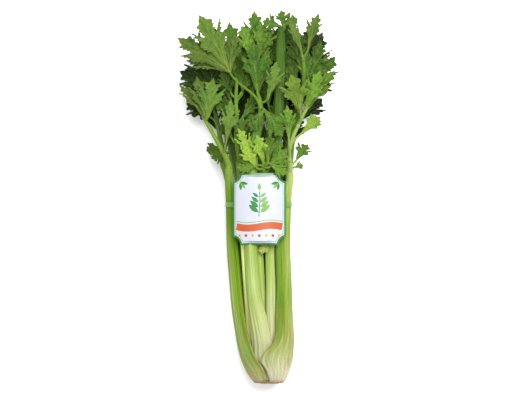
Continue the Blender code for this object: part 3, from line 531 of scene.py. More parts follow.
# Brown marks on the stalks: stalk, place across it, y, half width, half length and strength.
SCARS = (
    ("right", 0.10, -158, 0.9, 11.0, 0.75),
    ("right", 0.24, -148, 0.8, 14.0, 0.60),
    ("right", 0.33, -160, 0.6, 12.0, 0.50),
    ("right", -0.05, -172, 0.8, 12.0, 0.60),
    ("right", 0.55, -140, 2.5, 16.0, 0.30),
    ("right", -0.22, -196, 0.7, 14.0, 0.60),
    ("right", 0.02, -204, 0.6, 10.0, 0.50),
    ("centre", -0.35, -150, 0.5, 12.0, 0.40),
    ("right", 0.42, 6, 0.9, 2.2, 0.70),
    ("centre", 0.12, -120, 0.7, 8.0, 0.25),
    ("left", -0.25, -212, 2.5, 7.0, 0.45),
    ("back_left", 0.2, -120, 1.4, 7.0, 0.4),
    ("back_right", -0.3, -60, 1.0, 5.0, 0.5),
)

# Colours of a leaf's upper side and of its underside, by its tone.
LEAF_COLOURS = {
    # The dark tone, on the low back fronds and the leaves that fill the deep gaps, is partly their own deeper
    # green and partly painted shade.
    "dark": ("#33590f", "#597d2c"),
    "mid": ("#447218", "#688b33"),
    "bright": ("#5d8a22", "#80a435"),
    "young": ("#8cb43a", "#9cc04a"),
    # The sprout's colour is partly its own yellow-green and partly painted light on leaves in the label's
    # shadow.
    "sprout": ("#dcec6c", "#d4e880"),
}
VEIN_COLOUR = "#a9bf5a"

# Shares of the vein colour: on the veins and at a blade's base, for the upper side and for the underside,
# and along the margin. It reaches in from the margin by a width, and up from the base by a share of the blade.
VEIN_SHARES = ((0.18, 0.4), (0.16, 0.5))
MARGIN_SHARE, MARGIN_WIDTH = 0.14, 1.2
BASE_SHARE, BASE_LENGTH = 0.5, 0.35

# How the leaves vary, from and to: the height and length of their ripples, droop, lightness and warmth.
RIPPLES, WAVE_LENGTHS, PHASES, DROOPS = (1.1, 2.6), (10, 16), (0, 6.28), (-0.5, 1.8)
LIGHTNESS, WARMTH, LEAF_SEEDS = (0.74, 1.20), (-0.05, 0.10), (0, 900)

# The height and length of a leaf's bumps, the length of its spots, and the width of a leaf from which its
# relief is full.
BUMP_HEIGHT, BUMP_LENGTH, SPOT_LENGTH = 1.9, 6.5, 13
FULL_WIDTH = 30

# Painted shade darkens the leaves deep in the head: their share of the full colour, and the heights it grows
# between.
PAINTED_DEEP_SHADE, PAINTED_SHADE_HEIGHTS = 0.30, (14, 58)

# The tone of each frond's leaves, and then the sprays that differ from it or turn their underside up.
FROND_TONES = {
    "centre": "mid",
    "left": "mid",
    "right": "bright",
    "side_left": "dark",
    "inner_left": "mid",
    "back_left": "dark",
    "inner_back": "dark",
    "back_right": "dark",
    "side_right": "mid",
    "inner_right": "mid",
    "heart_front": "young",
    "heart_left": "bright",
    "heart_right": "mid",
}
SPRAY_LOOKS = {
    ("centre", 0): ("dark", True),
    ("centre", 1): ("mid", True),
    ("left", 0): ("mid", True),
    ("left", 1): ("mid", True),
    ("right", 1): ("bright", True),
    ("heart_front", 1): ("bright", False),
    ("heart_front", 2): ("bright", False),
    ("heart_left", 3): ("mid", False),
    ("right", 2): ("young", False),
    ("side_left", 0): ("young", False),
    ("side_right", 0): ("mid", True),
    ("side_right", 1): ("mid", True),
}

# The leaves' small teeth: spacing, height, steepness and outline, and the edges of a blade that have none.
TOOTH_SPACING, TOOTH_HEIGHT, STEEPEST_TOOTH = 5.6, 2.5, 0.42
TOOTH = ((0.0, -0.05), (0.35, 0.28), (0.68, 0.66), (0.96, 1.0), (0.95, 0.40))
LAST_TOOTH = TOOTH[:3]
PLAIN_EDGES = (0, 2, 4, 6)
CORNER_CUT = 0.13

# The corner of a blade's side between its lobe and its top, and how far it moves in for the finer outline.
SINUS, NOTCH = 5, (0.92, 0.62)

# The steps of the leaves' mesh, and the sheet's thickness.
MARGIN_STEP, GRID_STEP, VEIN_STEP = 1.3, 1.7, 1.5
GRID_ROW = GRID_STEP * 0.866
LEAF_THICK = 0.45

# The relief of the veins and of the broad pleats round them. Veins from a size up are raised as rods, which
# have a radius at the start and at the tip and are sunk into the leaf.
VEIN_RELIEF, VEIN_HALF_WIDTH = 0.35, 0.9
PLEAT_RELIEF, PLEAT_HALF_WIDTH = 0.9, 3.0
LEAST_RAISED_VEIN, VEIN_SIDES = 0.5, 7
VEIN_RADIUS, VEIN_TIP_RADIUS, VEIN_SINKS = 0.8, 0.12, 0.28
LEAF_FLOOR, LEAF_CEILING = 0.8, 87.6

# The crown's finer profile: y and radius, from its cut face inwards. Its colours run from middle to rim.
CROWN_PROFILE = (
    (-222.0, 0.0),
    (-222.1, 4.0),
    (-221.8, 8.0),
    (-222.0, 11.0),
    (-221.4, 12.6),
    (-219.8, 13.4),
    (-214.0, 14.0),
    (-208.0, 12.0),
    (-204.2, 9.0),
    (-203.6, 0.0),
)
CROWN_SIDES = 96
CROWN_FLATNESS, CROWN_WAVES, CROWN_DIPS = 0.9, 0.5, 0.35
CROWN_COLOURS = ((0.20, "#d9cf9c"), (0.55, "#e6e2bf"), (0.80, "#dccf9d"), (0.95, "#b98f55"))
CROWN_RUST = "#a97f48"

# The band: its y from and to, its gap to the stalks, and its section as places along and heights.
BAND_FROM, BAND_TO, BAND_GAP = -10.0, -4.0, 0.3
BAND_OUTSIDE = ((0.0, 0.0), (0.25, 0.55), (1.0, 0.7), (3.0, 0.62), (5.0, 0.7), (5.75, 0.55), (6.0, 0.0))
BAND_PROFILE = (*BAND_OUTSIDE, (5.0, 0.0), (3.0, 0.0), (1.0, 0.0))
BAND_COLOUR = "#7fae46"

# The label: its middle, its half sizes, the radius of its corner scoops and how it bends over the bunch.
LABEL_X, LABEL_Y = 4.0, -12.0
LABEL_HALF_WIDTH, LABEL_HALF_LENGTH = 33.0, 43.0
LABEL_SCOOP = 10.0
LABEL_TOP, LABEL_RISE, LABEL_BEND_RADIUS, LABEL_THICK = 74.4, 0.03, 56.0, 0.8

# The inks by number: name, colour and roughness.
INKS = (
    ("label_field", "#e4e9f6", 0.38),
    ("label_green", "#2f8f3a", 0.40),
    ("label_light_green", "#7fbf4f", 0.40),
    ("label_orange", "#dc6224", 0.40),
    ("label_red", "#c8361f", 0.40),
    ("label_yellow", "#eebd2d", 0.40),
)
FIELD, GREEN, LIGHT_GREEN, ORANGE, RED, YELLOW = range(6)

# The print: borders by inset, waves by y and half width, corner leaves by degrees from straight down, half
# of a leaf's outline, and the number of a dot's corners.
BORDERS = ((0.0, GREEN), (2.4, FIELD), (3.6, LIGHT_GREEN), (4.2, FIELD))
WAVES = ((-21, 4.2, ORANGE), (-14.6, 0.45, LIGHT_GREEN))
CORNER_LEAVES = ((4, GREEN), (40, LIGHT_GREEN), (76, GREEN))
SPRIG_LEAF = ((0.0, 0.0), (0.25, 0.38), (0.5, 0.5), (0.75, 0.34), (1.0, 0.0))
DOT_SIDES = 16

# The floor, and the light in metres.
FLOOR_HALF, FLOOR_GREYS = 6.0, ((0.3, 0.90), (0.7, 0.92))
SKY_STRENGTH = 1.05
KEY_PLACE, KEY_AIM = (0.30, 0.64, 1.32), (0, 0, 0.04)
KEY_SIZE, KEY_POWER = 1.2, 58.0

# The camera looks straight down: the width that it covers, its lens and sensor, and how far it sees.
VIEW_WIDTH = 614.4
VIEW_CENTRE = (0.0, -1.2, 40.0)
LENS, SENSOR, FARTHEST = 200.0, 36.0, 50.0

crown_low, crown_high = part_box("crown")
SHIFT = Vector(
    (
        (crown_low[0] + crown_high[0]) / 2 - BUNCH[0][1] * MM,
        crown_low[1] - BUNCH[0][0] * MM,
        (crown_low[2] + crown_high[2]) / 2 - BUNCH[0][3] * MM,
    )
)


def placed(point):
    """A point of the tables, in the frame's metres."""
    return Vector(point) * MM + SHIFT


def colour(code):
    """What a surface that looks like a code such as #80a040 throws back, as linear red, green and blue."""
    shares = [int(code[k : k + 2], 16) / 255 for k in (1, 3, 5)]
    return Vector([s / 12.92 if s <= 0.04045 else ((s + 0.055) / 1.055) ** 2.4 for s in shares]) * LIT_SHARE


def step_up(value, low, high):
    """0 below low, 1 above high, and a smooth rise between."""
    t = min(max((value - low) / (high - low), 0.0), 1.0)
    return t * t * (3 - 2 * t)


def smooth(rows, at):
    """The values of a table's rows at a place along its first column, on a smooth curve through them."""
    if at <= rows[0][0]:
        return list(rows[0][1:])
    if at >= rows[-1][0]:
        return list(rows[-1][1:])
    i = max(k for k in range(len(rows) - 1) if rows[k][0] <= at)
    before, low, high, after = rows[max(i - 1, 0)], rows[i], rows[i + 1], rows[min(i + 2, len(rows) - 1)]
    span = high[0] - low[0]
    t = (at - low[0]) / span
    found = []
    for a, b, c, d in zip(before[1:], low[1:], high[1:], after[1:]):
        start = (c - a) / (high[0] - before[0]) * span
        end = (d - b) / (after[0] - low[0]) * span
        found.append(
            (2 * t**3 - 3 * t**2 + 1) * b
            + (t**3 - 2 * t**2 + t) * start
            + (3 * t**2 - 2 * t**3) * c
            + (t**3 - t**2) * end
        )
    return found


STALK_COLOUR_ROWS = {name: [(y, *colour(code)) for y, code in rows] for name, rows in STALK_COLOURS.items()}


def stalk_colour(name, y):
    """A stalk's plain colour at a place along it."""
    return Vector(smooth(STALK_COLOUR_ROWS.get(name, STALK_COLOUR_ROWS["others"]), y))


class Surface:
    """A material that grows node by node. An input's value is a number, a colour or a node's socket."""

    def __init__(self, name, roughness, values):
        self.made = bpy.data.materials.new(name)
        self.made.use_nodes = True
        self.tree = self.made.node_tree
        self.shader = self.tree.nodes["Principled BSDF"]
        self.feed(self.shader, {"Roughness": roughness, **values})

    def feed(self, node, values):
        """Sets a node's inputs, which are found by name or by number."""
        for key, value in values.items():
            if isinstance(value, bpy.types.NodeSocket):
                self.tree.links.new(value, node.inputs[key])
            else:
                node.inputs[key].default_value = value

    def node(self, kind, values, **settings):
        """A new node's first output."""
        made = self.tree.nodes.new(f"ShaderNode{kind}")
        for key, value in settings.items():
            setattr(made, key, value)
        self.feed(made, values)
        return made.outputs[0]

    def painted(self, name):
        """The colour painted on the mesh under a name."""
        return self.node("Attribute", {}, attribute_name=name)

    def plane(self):
        """The mesh's own flat coordinates, in millimetres."""
        return self.node("Attribute", {}, attribute_name="plane").node.outputs["Vector"]

    def object_place(self):
        """The object's own coordinates, in metres."""
        return self.node("TexCoord", {}).node.outputs["Object"]

    def noise(self, place, scale, detail, roughness=0.5):
        """A cloudy grey from 0 to 1."""
        values = {"Vector": place, "Scale": scale, "Detail": detail, "Roughness": roughness}
        return self.node("TexNoise", values)

    def stretched(self, place, *scale):
        """Coordinates multiplied along x, y and z."""
        return self.node("Mapping", {"Vector": place, "Scale": scale})

    def net(self, place, scale, randomness):
        """The distance to the edges of irregular cells."""
        values = {"Vector": place, "Scale": scale, "Randomness": randomness}
        return self.node("TexVoronoi", values, feature="DISTANCE_TO_EDGE")

    def ramp(self, value, *stops):
        """A colour ramp's output. Its stops are places with grey levels or colours."""
        made = self.node("ValToRGB", {"Fac": value})
        elements = made.node.color_ramp.elements
        while len(elements) < len(stops):
            elements.new(0.5)
        for element, (place, level) in zip(elements, stops):
            element.position = place
            red_green_blue = level if isinstance(level, (tuple, Vector)) else (level, level, level)
            element.color = (*red_green_blue, 1.0)
        return made

    def mixed(self, blend, share, first, second):
        """Two colours mixed by share."""
        values = {0: share, 6: first, 7: second}
        return self.node("Mix", values, data_type="RGBA", blend_type=blend).node.outputs[2]

    def shaded(self, share, under, value, *stops):
        """A colour multiplied by a ramp of value, by share."""
        return self.mixed("MULTIPLY", share, under, self.ramp(value, *stops))

    def bump(self, strength, distance, height, **below):
        """A normal raised by height, on top of another one where it is given as Normal."""
        return self.node("Bump", {"Strength": strength, "Distance": distance, "Height": height, **below})

    def finished(self, base, normal):
        """The material, with its colour and normal joined to its shader."""
        self.feed(self.shader, {"Base Color": base, "Normal": normal})
        return self.made


def stalk_material(name, streaks):
    """Slightly waxy stalk: the painted colour, with fine streaks along it, patches and flecks."""
    skin = Surface(name, 0.5, {"Specular IOR Level": STALK_GLOSS})
    place = skin.plane()
    streak = skin.noise(skin.stretched(place, streaks, streaks / 45, 1.0), 1.0, 5.0, 0.6)
    zone = skin.noise(skin.stretched(place, streaks / 4, streaks / 130, 1.0), 1.0, 2.0)
    fleck = skin.noise(place, 0.8, 4.0)
    base = skin.shaded(1.0, skin.painted("tint"), streak, (0.30, 0.66), (0.5, 1.0), (0.68, 1.20))
    base = skin.shaded(1.0, base, zone, (0.32, (0.84, 0.90, 0.78)), (0.68, (1.10, 1.07, 1.07)))
    base = skin.shaded(0.8, base, fleck, (0.36, 0.90), (0.52, 1.0))
    skin.feed(skin.shader, {"Roughness": skin.ramp(streak, (0.3, 0.42), (0.7, 0.58))})
    rib = skin.bump(0.30, 0.0005, streak)
    return skin.finished(base, skin.bump(0.15, 0.0003, fleck, Normal=rib))


def leaf_material(name, attribute, roughness, net_light, puff):
    """One side of a leaf: the painted colour, a net of fine veins and the puffed cells between them."""
    skin = Surface(name, roughness, {"Specular IOR Level": LEAF_GLOSS})
    place = skin.plane()
    net = skin.net(place, 0.40, 0.9)
    grain = skin.noise(place, 2.6, 2.0)
    base = skin.shaded(0.4, skin.painted(attribute), net, (0.0, net_light), (0.16, 1.0))
    base = skin.shaded(0.2, base, skin.net(place, 1.1, 1.0), (0.0, net_light), (0.14, 1.0))
    base = skin.shaded(1.0, base, skin.noise(place, 0.30, 3.0), (0.3, 0.78), (0.5, 1.0), (0.7, 1.16))
    base = skin.shaded(1.0, base, grain, (0.35, 0.94), (0.65, 1.05))
    creased = skin.bump(0.8, 0.0022, skin.noise(place, 0.55, 3.0, 0.6))
    puffed = skin.bump(puff, 0.0007, skin.ramp(net, (0.0, 0.0), (0.45, 1.0)), Normal=creased)
    return skin.finished(base, skin.bump(0.2, 0.0002, grain, Normal=puffed))


def printed_material(name, code, roughness):
    """Printed card: a plain ink with faint mottling and a fine paper grain."""
    card = Surface(name, roughness, {"Specular IOR Level": 0.4})
    place = card.object_place()
    base = card.shaded(1.0, (*colour(code), 1.0), card.noise(place, 120.0, 3.0), (0.3, 0.96), (0.7, 1.02))
    return card.finished(base, card.bump(0.12, 0.0001, card.noise(place, 1800.0, 2.0)))


def crown_material():
    """The cut root plate: cream pith with faint rings, browned towards its rim and in specks."""
    pith = Surface("crown_plate", 0.6, {"Specular IOR Level": 0.35})
    place = pith.object_place()
    axis = placed((BUNCH[0][1], 0.0, BUNCH[0][3]))
    middle = {"Location": (-axis.x, 0.0, -axis.z), "Scale": (1.0, 0.0, 1.0)}
    flat = pith.node("Mapping", {"Vector": place, **middle})
    radius = pith.node("VectorMath", {0: flat}, operation="LENGTH").node.outputs["Value"]
    spots = pith.noise(place, 420.0, 4.0)
    wobble = pith.noise(place, 110.0, 3.0)
    uneven = pith.node("Math", {0: wobble, 1: 0.007, 2: radius}, operation="MULTIPLY_ADD")
    share = pith.node("MapRange", {"Value": uneven, "From Max": 0.018})
    base = pith.ramp(share, *((at, colour(code)) for at, code in CROWN_COLOURS))
    turns = pith.node("Math", {0: uneven, 1: 3600.0}, operation="MULTIPLY")
    rings = pith.node("Math", {0: turns}, operation="SINE")
    base = pith.shaded(0.7, base, rings, (0.0, 0.90), (1.0, 1.0))
    rust = pith.ramp(spots, (0.58, 0.0), (0.70, 1.0))
    base = pith.mixed("MIX", rust, base, (*colour(CROWN_RUST), 1.0))
    return pith.finished(base, pith.bump(0.5, 0.0006, spots))


def band_material():
    """A thin strip of green-tinted plastic with fine lengthwise draw lines."""
    film = Surface("band_film", 0.2, {"Specular IOR Level": 0.6, "Coat Weight": 0.4})
    lines = film.noise(film.stretched(film.object_place(), 30.0, 2400.0, 30.0), 1.0, 2.0)
    base = film.shaded(1.0, (*colour(BAND_COLOUR), 1.0), lines, (0.3, 0.88), (0.7, 1.08))
    return film.finished(base, film.bump(0.2, 0.0001, lines))


MATERIALS = {
    "stalk": stalk_material("stalk_skin", 1.0),
    "stem": stalk_material("stem_skin", 1.5),
    "upper": leaf_material("leaf_upper", "upper", 0.48, 1.25, 0.6),
    "under": leaf_material("leaf_under", "under", 0.60, 0.82, 0.3),
    "crown": crown_material(),
    "band": band_material(),
}


def added(name, data):
    """A new object in the scene."""
    made = bpy.data.objects.new(name, data)
    bpy.context.scene.collection.objects.link(made)
    return made


class Sheet:
    """A mesh that grows piece by piece, with values that its material reads at each point."""

    def __init__(self):
        self.points = []
        self.faces = []
        self.materials = []
        self.values = {}

    def add(self, points, faces, material=0, **values):
        """Adds points in the tables' millimetres, with faces of one material."""
        start = len(self.points)
        self.points += [placed(point) for point in points]
        self.faces += [tuple(index + start for index in face) for face in faces]
        self.materials += [material] * len(faces)
        for key, rows in values.items():
            self.values.setdefault(key, []).extend(rows)

    def piece(self, name, materials, node, slot):
        """The finished object, which replaces a CAD node."""
        mesh = bpy.data.meshes.new(name)
        mesh.from_pydata(self.points, [], self.faces)
        for material in materials:
            mesh.materials.append(material)
        mesh.polygons.foreach_set("material_index", self.materials)
        for key, rows in self.values.items():
            if key == "plane":
                kept = mesh.attributes.new(key, "FLOAT_VECTOR", "POINT")
                kept.data.foreach_set("vector", [value for row in rows for value in row])
            else:
                kept = mesh.attributes.new(key, "FLOAT_COLOR", "POINT")
                kept.data.foreach_set("color", [value for row in rows for value in (*row, 1.0)])
        mesh.shade_smooth()
        made = added(name, mesh)
        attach(made, "root")
        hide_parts(node)
        return made


def ring_corners(count, rings, closed=False):
    """The corners of the faces between rings of count points: low, low after, high after and high."""
    for level in range(rings if closed else rings - 1):
        low, high = level * count, (level + 1) % rings * count
        for k in range(count):
            after = (k + 1) % count
            yield low + k, low + after, high + after, high + k


def spread(y, width, reach):
    """Half the angle that a width takes up round the bunch at y."""
    _, half_width, _, half_depth = smooth(BUNCH, y)
    return math.degrees(width / 2 / ((half_width + half_depth) / 2 * reach))


def bunch_point(y, angle, reach, inset):
    """A point (x, z) of the bunch's section at y, moved in towards the axis by inset."""
    centre_x, half_width, centre_z, half_depth = smooth(BUNCH, y)
    share = reach - inset / ((half_width + half_depth) / 2)
    turn = math.radians(angle)
    return centre_x + half_width * share * math.cos(turn), centre_z + half_depth * share * math.sin(turn)


def stalk_end(name):
    """The middle of a stalk's upper end, where its frond starts."""
    y, angle, reach, _, thick, curl = STALKS[name][-1]
    x, z = bunch_point(y, angle, reach, thick / 2 + curl / 4)
    return Vector((x, y, z))


def stalk_ring(outer):
    """A stalk's ring of points: place across, share from outer to inner side, and whether it's outer."""
    count = OUTER_POINTS[outer]
    ring = [(OUTER_EDGE * (2 * k / (count - 1) - 1), 0.0, True) for k in range(count)]
    ring += [(across, share, False) for across, share in RIM_POINTS]
    ring += [(INNER_EDGE * (1 - 2 * k / (INNER_POINTS - 1)), 1.0, False) for k in range(INNER_POINTS)]
    ring += [(-across, share, False) for across, share in reversed(RIM_POINTS)]
    return ring


def stalk_ribs(name, across, y):
    """How far the broad and the fine ribs' grooves go in at a place across, each as a share from 0 to 1."""
    outer = name in OUTER_STALKS
    ribs = OUTER_RIBS if outer else INNER_RIBS
    if name in RIB_LINES:
        angle, reach, width, _, _ = smooth(STALKS[name], y)
        middle, half = smooth(RIB_LINES[name], y)
        across = (angle + spread(y, width, reach) * across - middle) / half
    drift = 0.05 * noise.noise(Vector((across * 2.5, y / 150, list(STALKS).index(name))))
    broad = (1 - math.cos(math.pi * (across + drift + 1) * ribs)) / 2
    fine = (1 - math.cos(math.pi * (across + 2 * drift + 1) * FINE_RIBS[outer])) / 2
    return broad, fine**0.7


def ridge_lines(name):
    """The few thin pale ridges of a stalk: place across, half width and strength."""
    draw = random.Random(f"{SEED} {name} ridges")
    return [[draw.uniform(*span) for span in RIDGE_RANGES] for _ in range(RIDGES)]


def stalk_zone(name, y, across, ribs, ridges, inner):
    """How far a stalk's colour goes towards pale (+) or deep (-) at a point."""
    end = STALKS[name][-1][0]
    # The broad zones hold painted light and shade on the stalk's sides as well as its own bands.
    zone = smooth(STALK_TONE_AND_LIGHT_ZONES.get(name, STALK_TONE_AND_LIGHT_ZONES["others"]), across)[0]
    zone *= LEAST_ZONE + (1 - LEAST_ZONE) * step_up(y, *ZONES_GROW)
    zone *= 1 - step_up(y, end - FADE_LENGTH, end)
    broad, fine = ribs
    foot = step_up(y, *FOOT_GROWS) * (1 - step_up(y, *FOOT_ENDS))
    rib = RIB_TONE + FOOT_RIB_TONE * foot
    zone += rib * (0.5 - broad) + FOOT_TONE * foot + FINE_RIB_TONE * (0.5 - fine)
    cloud = noise.noise(Vector((across * 1.8, y / 55, list(STALKS).index(name) * 3.1)))
    zone += CLOUD_TONE * cloud
    for middle, half, strength in ridges:
        off = (across - middle - 0.06 * math.sin(y / 90 + middle * 9)) / half
        zone += strength * math.exp(-off * off) * step_up(cloud, -0.6, 0.3)
    zone += INNER_TONE if inner else 0.0
    return zone * (1 - FADE_SHARE * step_up(y, *TONES_FADE))


def stalk_rust(name, place, across, inner):
    """How brown a stalk is at a point: its cut end, its rims near the base, and its marks."""
    x, y, z = place
    rough = noise.noise(Vector((x * 0.35, y * 0.12, z * 0.35)))
    rust = step_up(-y + 3 * rough, *CUT_PLACES) * CUT_RUST
    rim = step_up(abs(across), *RIM_PLACES) * (1 - step_up(y, *RIM_HEIGHTS))
    rust += RIM_RUST * rim * step_up(rough, -0.45, 0.15)
    for stalk, mid, centre, half_width, half_length, strength in SCARS:
        if stalk != name or inner:
            continue
        off = ((across - mid) * SCAR_SPAN / half_width) ** 2 + ((y - centre) / half_length) ** 2
        rust += strength * math.exp(-off * 1.2) * (0.7 + rough)
    return rust


def stalk_tint(name, place, across, ribs, ridges, inner):
    """The colour of a stalk at a point."""
    y = place[1]
    # Painted light on stalks that lie in the shade between the others.
    lift = (STALK_PAINTED_LIGHT.get(name, 1.0) - 1) * (1 - step_up(y, *PAINTED_LIGHT_ENDS))
    base = stalk_colour(name, y) * (1 + lift)
    zone = stalk_zone(name, y, across, ribs, ridges, inner)
    tint = base.lerp(colour(PALE if zone > 0 else DEEP), min(abs(zone), MOST_TINT))
    return tint.lerp(colour(CUT_BROWN), min(stalk_rust(name, place, across, inner), MOST_TINT))


def stalk_levels(rows):
    """Where a stalk's fine sections stand, closer together in the flare at the base."""
    levels = [rows[0][0]]
    while levels[-1] < rows[-1][0] - 0.01:
        levels.append(min(levels[-1] + (FLARE_STEP if levels[-1] < FLARE_END else STALK_STEP), rows[-1][0]))
    return levels


def stalk(name):
    """One stalk with its ribs, whose upper end rounds into the midrib of its frond."""
    rows = STALKS[name]
    ring = stalk_ring(name in OUTER_STALKS)
    end = stalk_end(name)
    radius = rows[-1][3] * MIDRIB_SHARE
    ridges = ridge_lines(name)
    points, tints, plane = [], [], []
    seed = list(STALKS).index(name) * 10.0
    levels = stalk_levels(rows)
    for y in levels:
        angle, reach, width, thick, curl = smooth(rows, y)
        half_angle = spread(y, width, reach)
        rim = thick * RIM_SHARE
        rounding = step_up(y, rows[-1][0] - JOINT_LENGTH, rows[-1][0])
        for across, share, outside in ring:
            broad, fine = stalk_ribs(name, across, y)
            wave = 0.3 * noise.noise(Vector((across * 2.2, y / 35, seed)))
            outer_inset = curl * across**2 + wave * (1 - rounding)
            outer_inset += (width * RIB_DEPTH_SHARE * broad + FINE_RIB_DEPTH * fine) * (1 - rounding)
            inner_inset = curl * across**2 + rim + (thick - rim) * (1 - across**2)
            inset = outer_inset + (inner_inset - outer_inset) * share
            x, z = bunch_point(y, angle + half_angle * across, reach, inset)
            turn = math.atan2(z - end.z, x - end.x)
            x += (end.x + radius * math.cos(turn) - x) * rounding
            z += (end.z + radius * math.sin(turn) - z) * rounding
            place = (x, y, max(z, 0.0))
            points.append(place)
            plane.append((across * PLANE_HALF_WIDTH, y, seed + 5.0 * share))
            tints.append(stalk_tint(name, place, across, (broad, fine), ridges, not outside))
    faces = [(b, a, d, c) for a, b, c, d in ring_corners(len(ring), len(levels))]
    sheet = Sheet()
    sheet.add(points, faces + cap_faces(len(ring), len(levels)), tint=tints, plane=plane)
    slot = "heart" if name.startswith(("heart", "inner")) else "stalk"
    made = sheet.piece(f"stalk_{name}_ribbed", [MATERIALS["stalk"]], f"stalk_{name}", slot)
    made.data.set_sharp_from_angle(angle=math.radians(STALK_SHARP))


def cap_faces(count, levels):
    """The faces that close a stalk's two ends, in strips across the crescent."""
    outer = count - INNER_POINTS - 2 * len(RIM_POINTS)
    faces = []
    for start, flip in ((0, False), ((levels - 1) * count, True)):
        ring = list(range(start, start + count))
        front = ring[:outer]
        back = ring[outer:][::-1]
        for k in range(outer - 1):
            a = back[round(k * (len(back) - 1) / (outer - 1))]
            b = back[round((k + 1) * (len(back) - 1) / (outer - 1))]
            corners = [front[k], front[k + 1], b] if a == b else [front[k], front[k + 1], b, a]
            faces.append(tuple(corners) if flip else tuple(reversed(corners)))
    return faces


def curve_through(points, count):
    """Points on a smooth curve through the given ones."""
    rows = [(k, *point) for k, point in enumerate(points)]
    return [Vector(smooth(rows, k * (len(points) - 1) / count)) for k in range(count + 1)]


def tube(sheet, line, radii, sides, tint_at, grooves=0.0):
    """Adds a round stem along a line, with a radius at each point, grooves of a depth and closed ends."""
    normal = None
    points, tints, plane = [], [], []
    passed = 0.0
    for k, centre in enumerate(line):
        along = (line[min(k + 1, len(line) - 1)] - line[max(k - 1, 0)]).normalized()
        if normal is None:
            normal = along.orthogonal().normalized()
        normal = (normal - along * normal.dot(along)).normalized()
        other = along.cross(normal)
        share = k / (len(line) - 1)
        passed += (centre - line[k - 1]).length if k else 0.0
        for j in range(sides):
            turn = 2 * math.pi * j / sides
            groove = (1 - math.cos(turn * (sides // 3))) / 2 * step_up(share, 0.08, 0.35)
            out = normal * math.cos(turn) + other * math.sin(turn)
            point = centre + out * radii[k] * (1 - grooves * groove)
            points.append((point.x, point.y, max(point.z, STEM_FLOOR)))
            # Painted shade darkens the grooves.
            tints.append(tint_at(share, centre) * (1 - (GROOVE_SHADE if grooves else 0.0) * groove))
            plane.append((abs(turn - math.pi) * radii[0], passed, line[0].x))
    faces = list(ring_corners(sides, len(line)))
    faces.append(tuple(reversed(range(sides))))
    last = (len(line) - 1) * sides
    faces.append(tuple(range(last, last + sides)))
    sheet.add(points, faces, tint=tints, plane=plane)


def blade_outline(cut, draw):
    """The two sides of a blade, as shares of its length and width, from the base to the tip."""
    sinus = (BLADE_CUT[0] + cut * BLADE_CUT_MOVES[0], BLADE_CUT[1] + cut * BLADE_CUT_MOVES[1])
    side = (*BLADE_LOBE, sinus, *BLADE_TOP)

    def uneven(point):
        return tuple(value + draw.uniform(-BLADE_SPREAD, BLADE_SPREAD) for value in point)

    left = [*BLADE_BASE, *(uneven(point) for point in side)]
    right = [*BLADE_BASE, *(uneven(point) for point in side)]
    return left, right


def blade_frame(base, tip, roll):
    """Along, across and normal directions of a blade, rolled about its midrib."""
    along = (tip - base).normalized()
    across = Vector((0, 0, 1)).cross(along).normalized()
    across = Matrix.Rotation(math.radians(roll), 3, along) @ across
    return along, across, along.cross(across)


def toothed_side(side, length, width, draw, plain):
    """One side of a leaf's margin in millimetres, from base to tip, with small teeth unless it's plain."""
    side = list(side)
    u, v = side[SINUS]
    side[SINUS] = (u * NOTCH[0], v * NOTCH[1])
    corners = [Vector((u * length, v * width)) for u, v in side] + [Vector((length, 0.0))]
    last = len(corners) - 2
    margin = [corners[0]]
    for k, (start, end) in enumerate(zip(corners, corners[1:])):
        reach = (end - start).length
        out = Vector((start.y - end.y, end.x - start.x)) / max(reach, 1e-6)
        if k in PLAIN_EDGES or plain:
            steps = max(round(reach / MARGIN_STEP), 1)
            margin += [start.lerp(end, j / steps) for j in range(1, steps + 1)]
            continue
        teeth = max(round(reach / TOOTH_SPACING), 1)
        height = min(TOOTH_HEIGHT, STEEPEST_TOOTH * reach / teeth)
        for tooth in range(teeth):
            size = height * draw.uniform(0.7, 1.25)
            for place, rise in TOOTH if tooth < teeth - 1 else LAST_TOOTH:
                if tooth == 0 and place == 0.0:
                    continue
                share = (tooth + place) / teeth
                if k == last:
                    rise *= 0.9 - share
                margin.append(start.lerp(end, share) + out * size * rise)
        margin.append(end)
    return margin


def round_corners(points):
    """Cuts the corners of a closed line once."""
    kept = []
    for a, b in zip(points, points[1:] + points[:1]):
        kept += [a.lerp(b, CORNER_CUT), a.lerp(b, 1 - CORNER_CUT)]
    return kept


def inside(point, outline):
    """Whether a flat point is inside a closed line."""
    odd = False
    x, y = point
    for a, b in zip(outline, outline[1:] + outline[:1]):
        if (a.y > y) != (b.y > y) and x < a.x + (y - a.y) * (b.x - a.x) / (b.y - a.y):
            odd = not odd
    return odd


def near_tree(points):
    """A tree that finds the nearest of some flat points."""
    tree = KDTree(max(len(points), 1))
    for k, point in enumerate(points):
        tree.insert((point.x, point.y, 0.0), k)
    tree.balance()
    return tree


def nearest(tree, flat):
    """The number of a tree's nearest point, and how far away it is."""
    _, index, distance = tree.find((flat[0], flat[1], 0.0))
    return index, distance


def face_area(flat, face):
    """Twice the area of a face's first corner, which is positive where it runs anticlockwise."""
    a, b, c = (flat[k] for k in face[:3])
    return (b.x - a.x) * (c.y - a.y) - (b.y - a.y) * (c.x - a.x)


def vein_line(start, end, lift):
    """A bent vein, as flat points from start to end."""
    steps = max(round((end - start).length / VEIN_STEP), 2)
    middle = start.lerp(end, 0.45) + Vector((abs(end.y - start.y) * lift, (start.y - end.y) * lift))
    shares = [k / steps for k in range(steps + 1)]
    return [start * (1 - t) ** 2 + middle * 2 * t * (1 - t) + end * t**2 for t in shares]


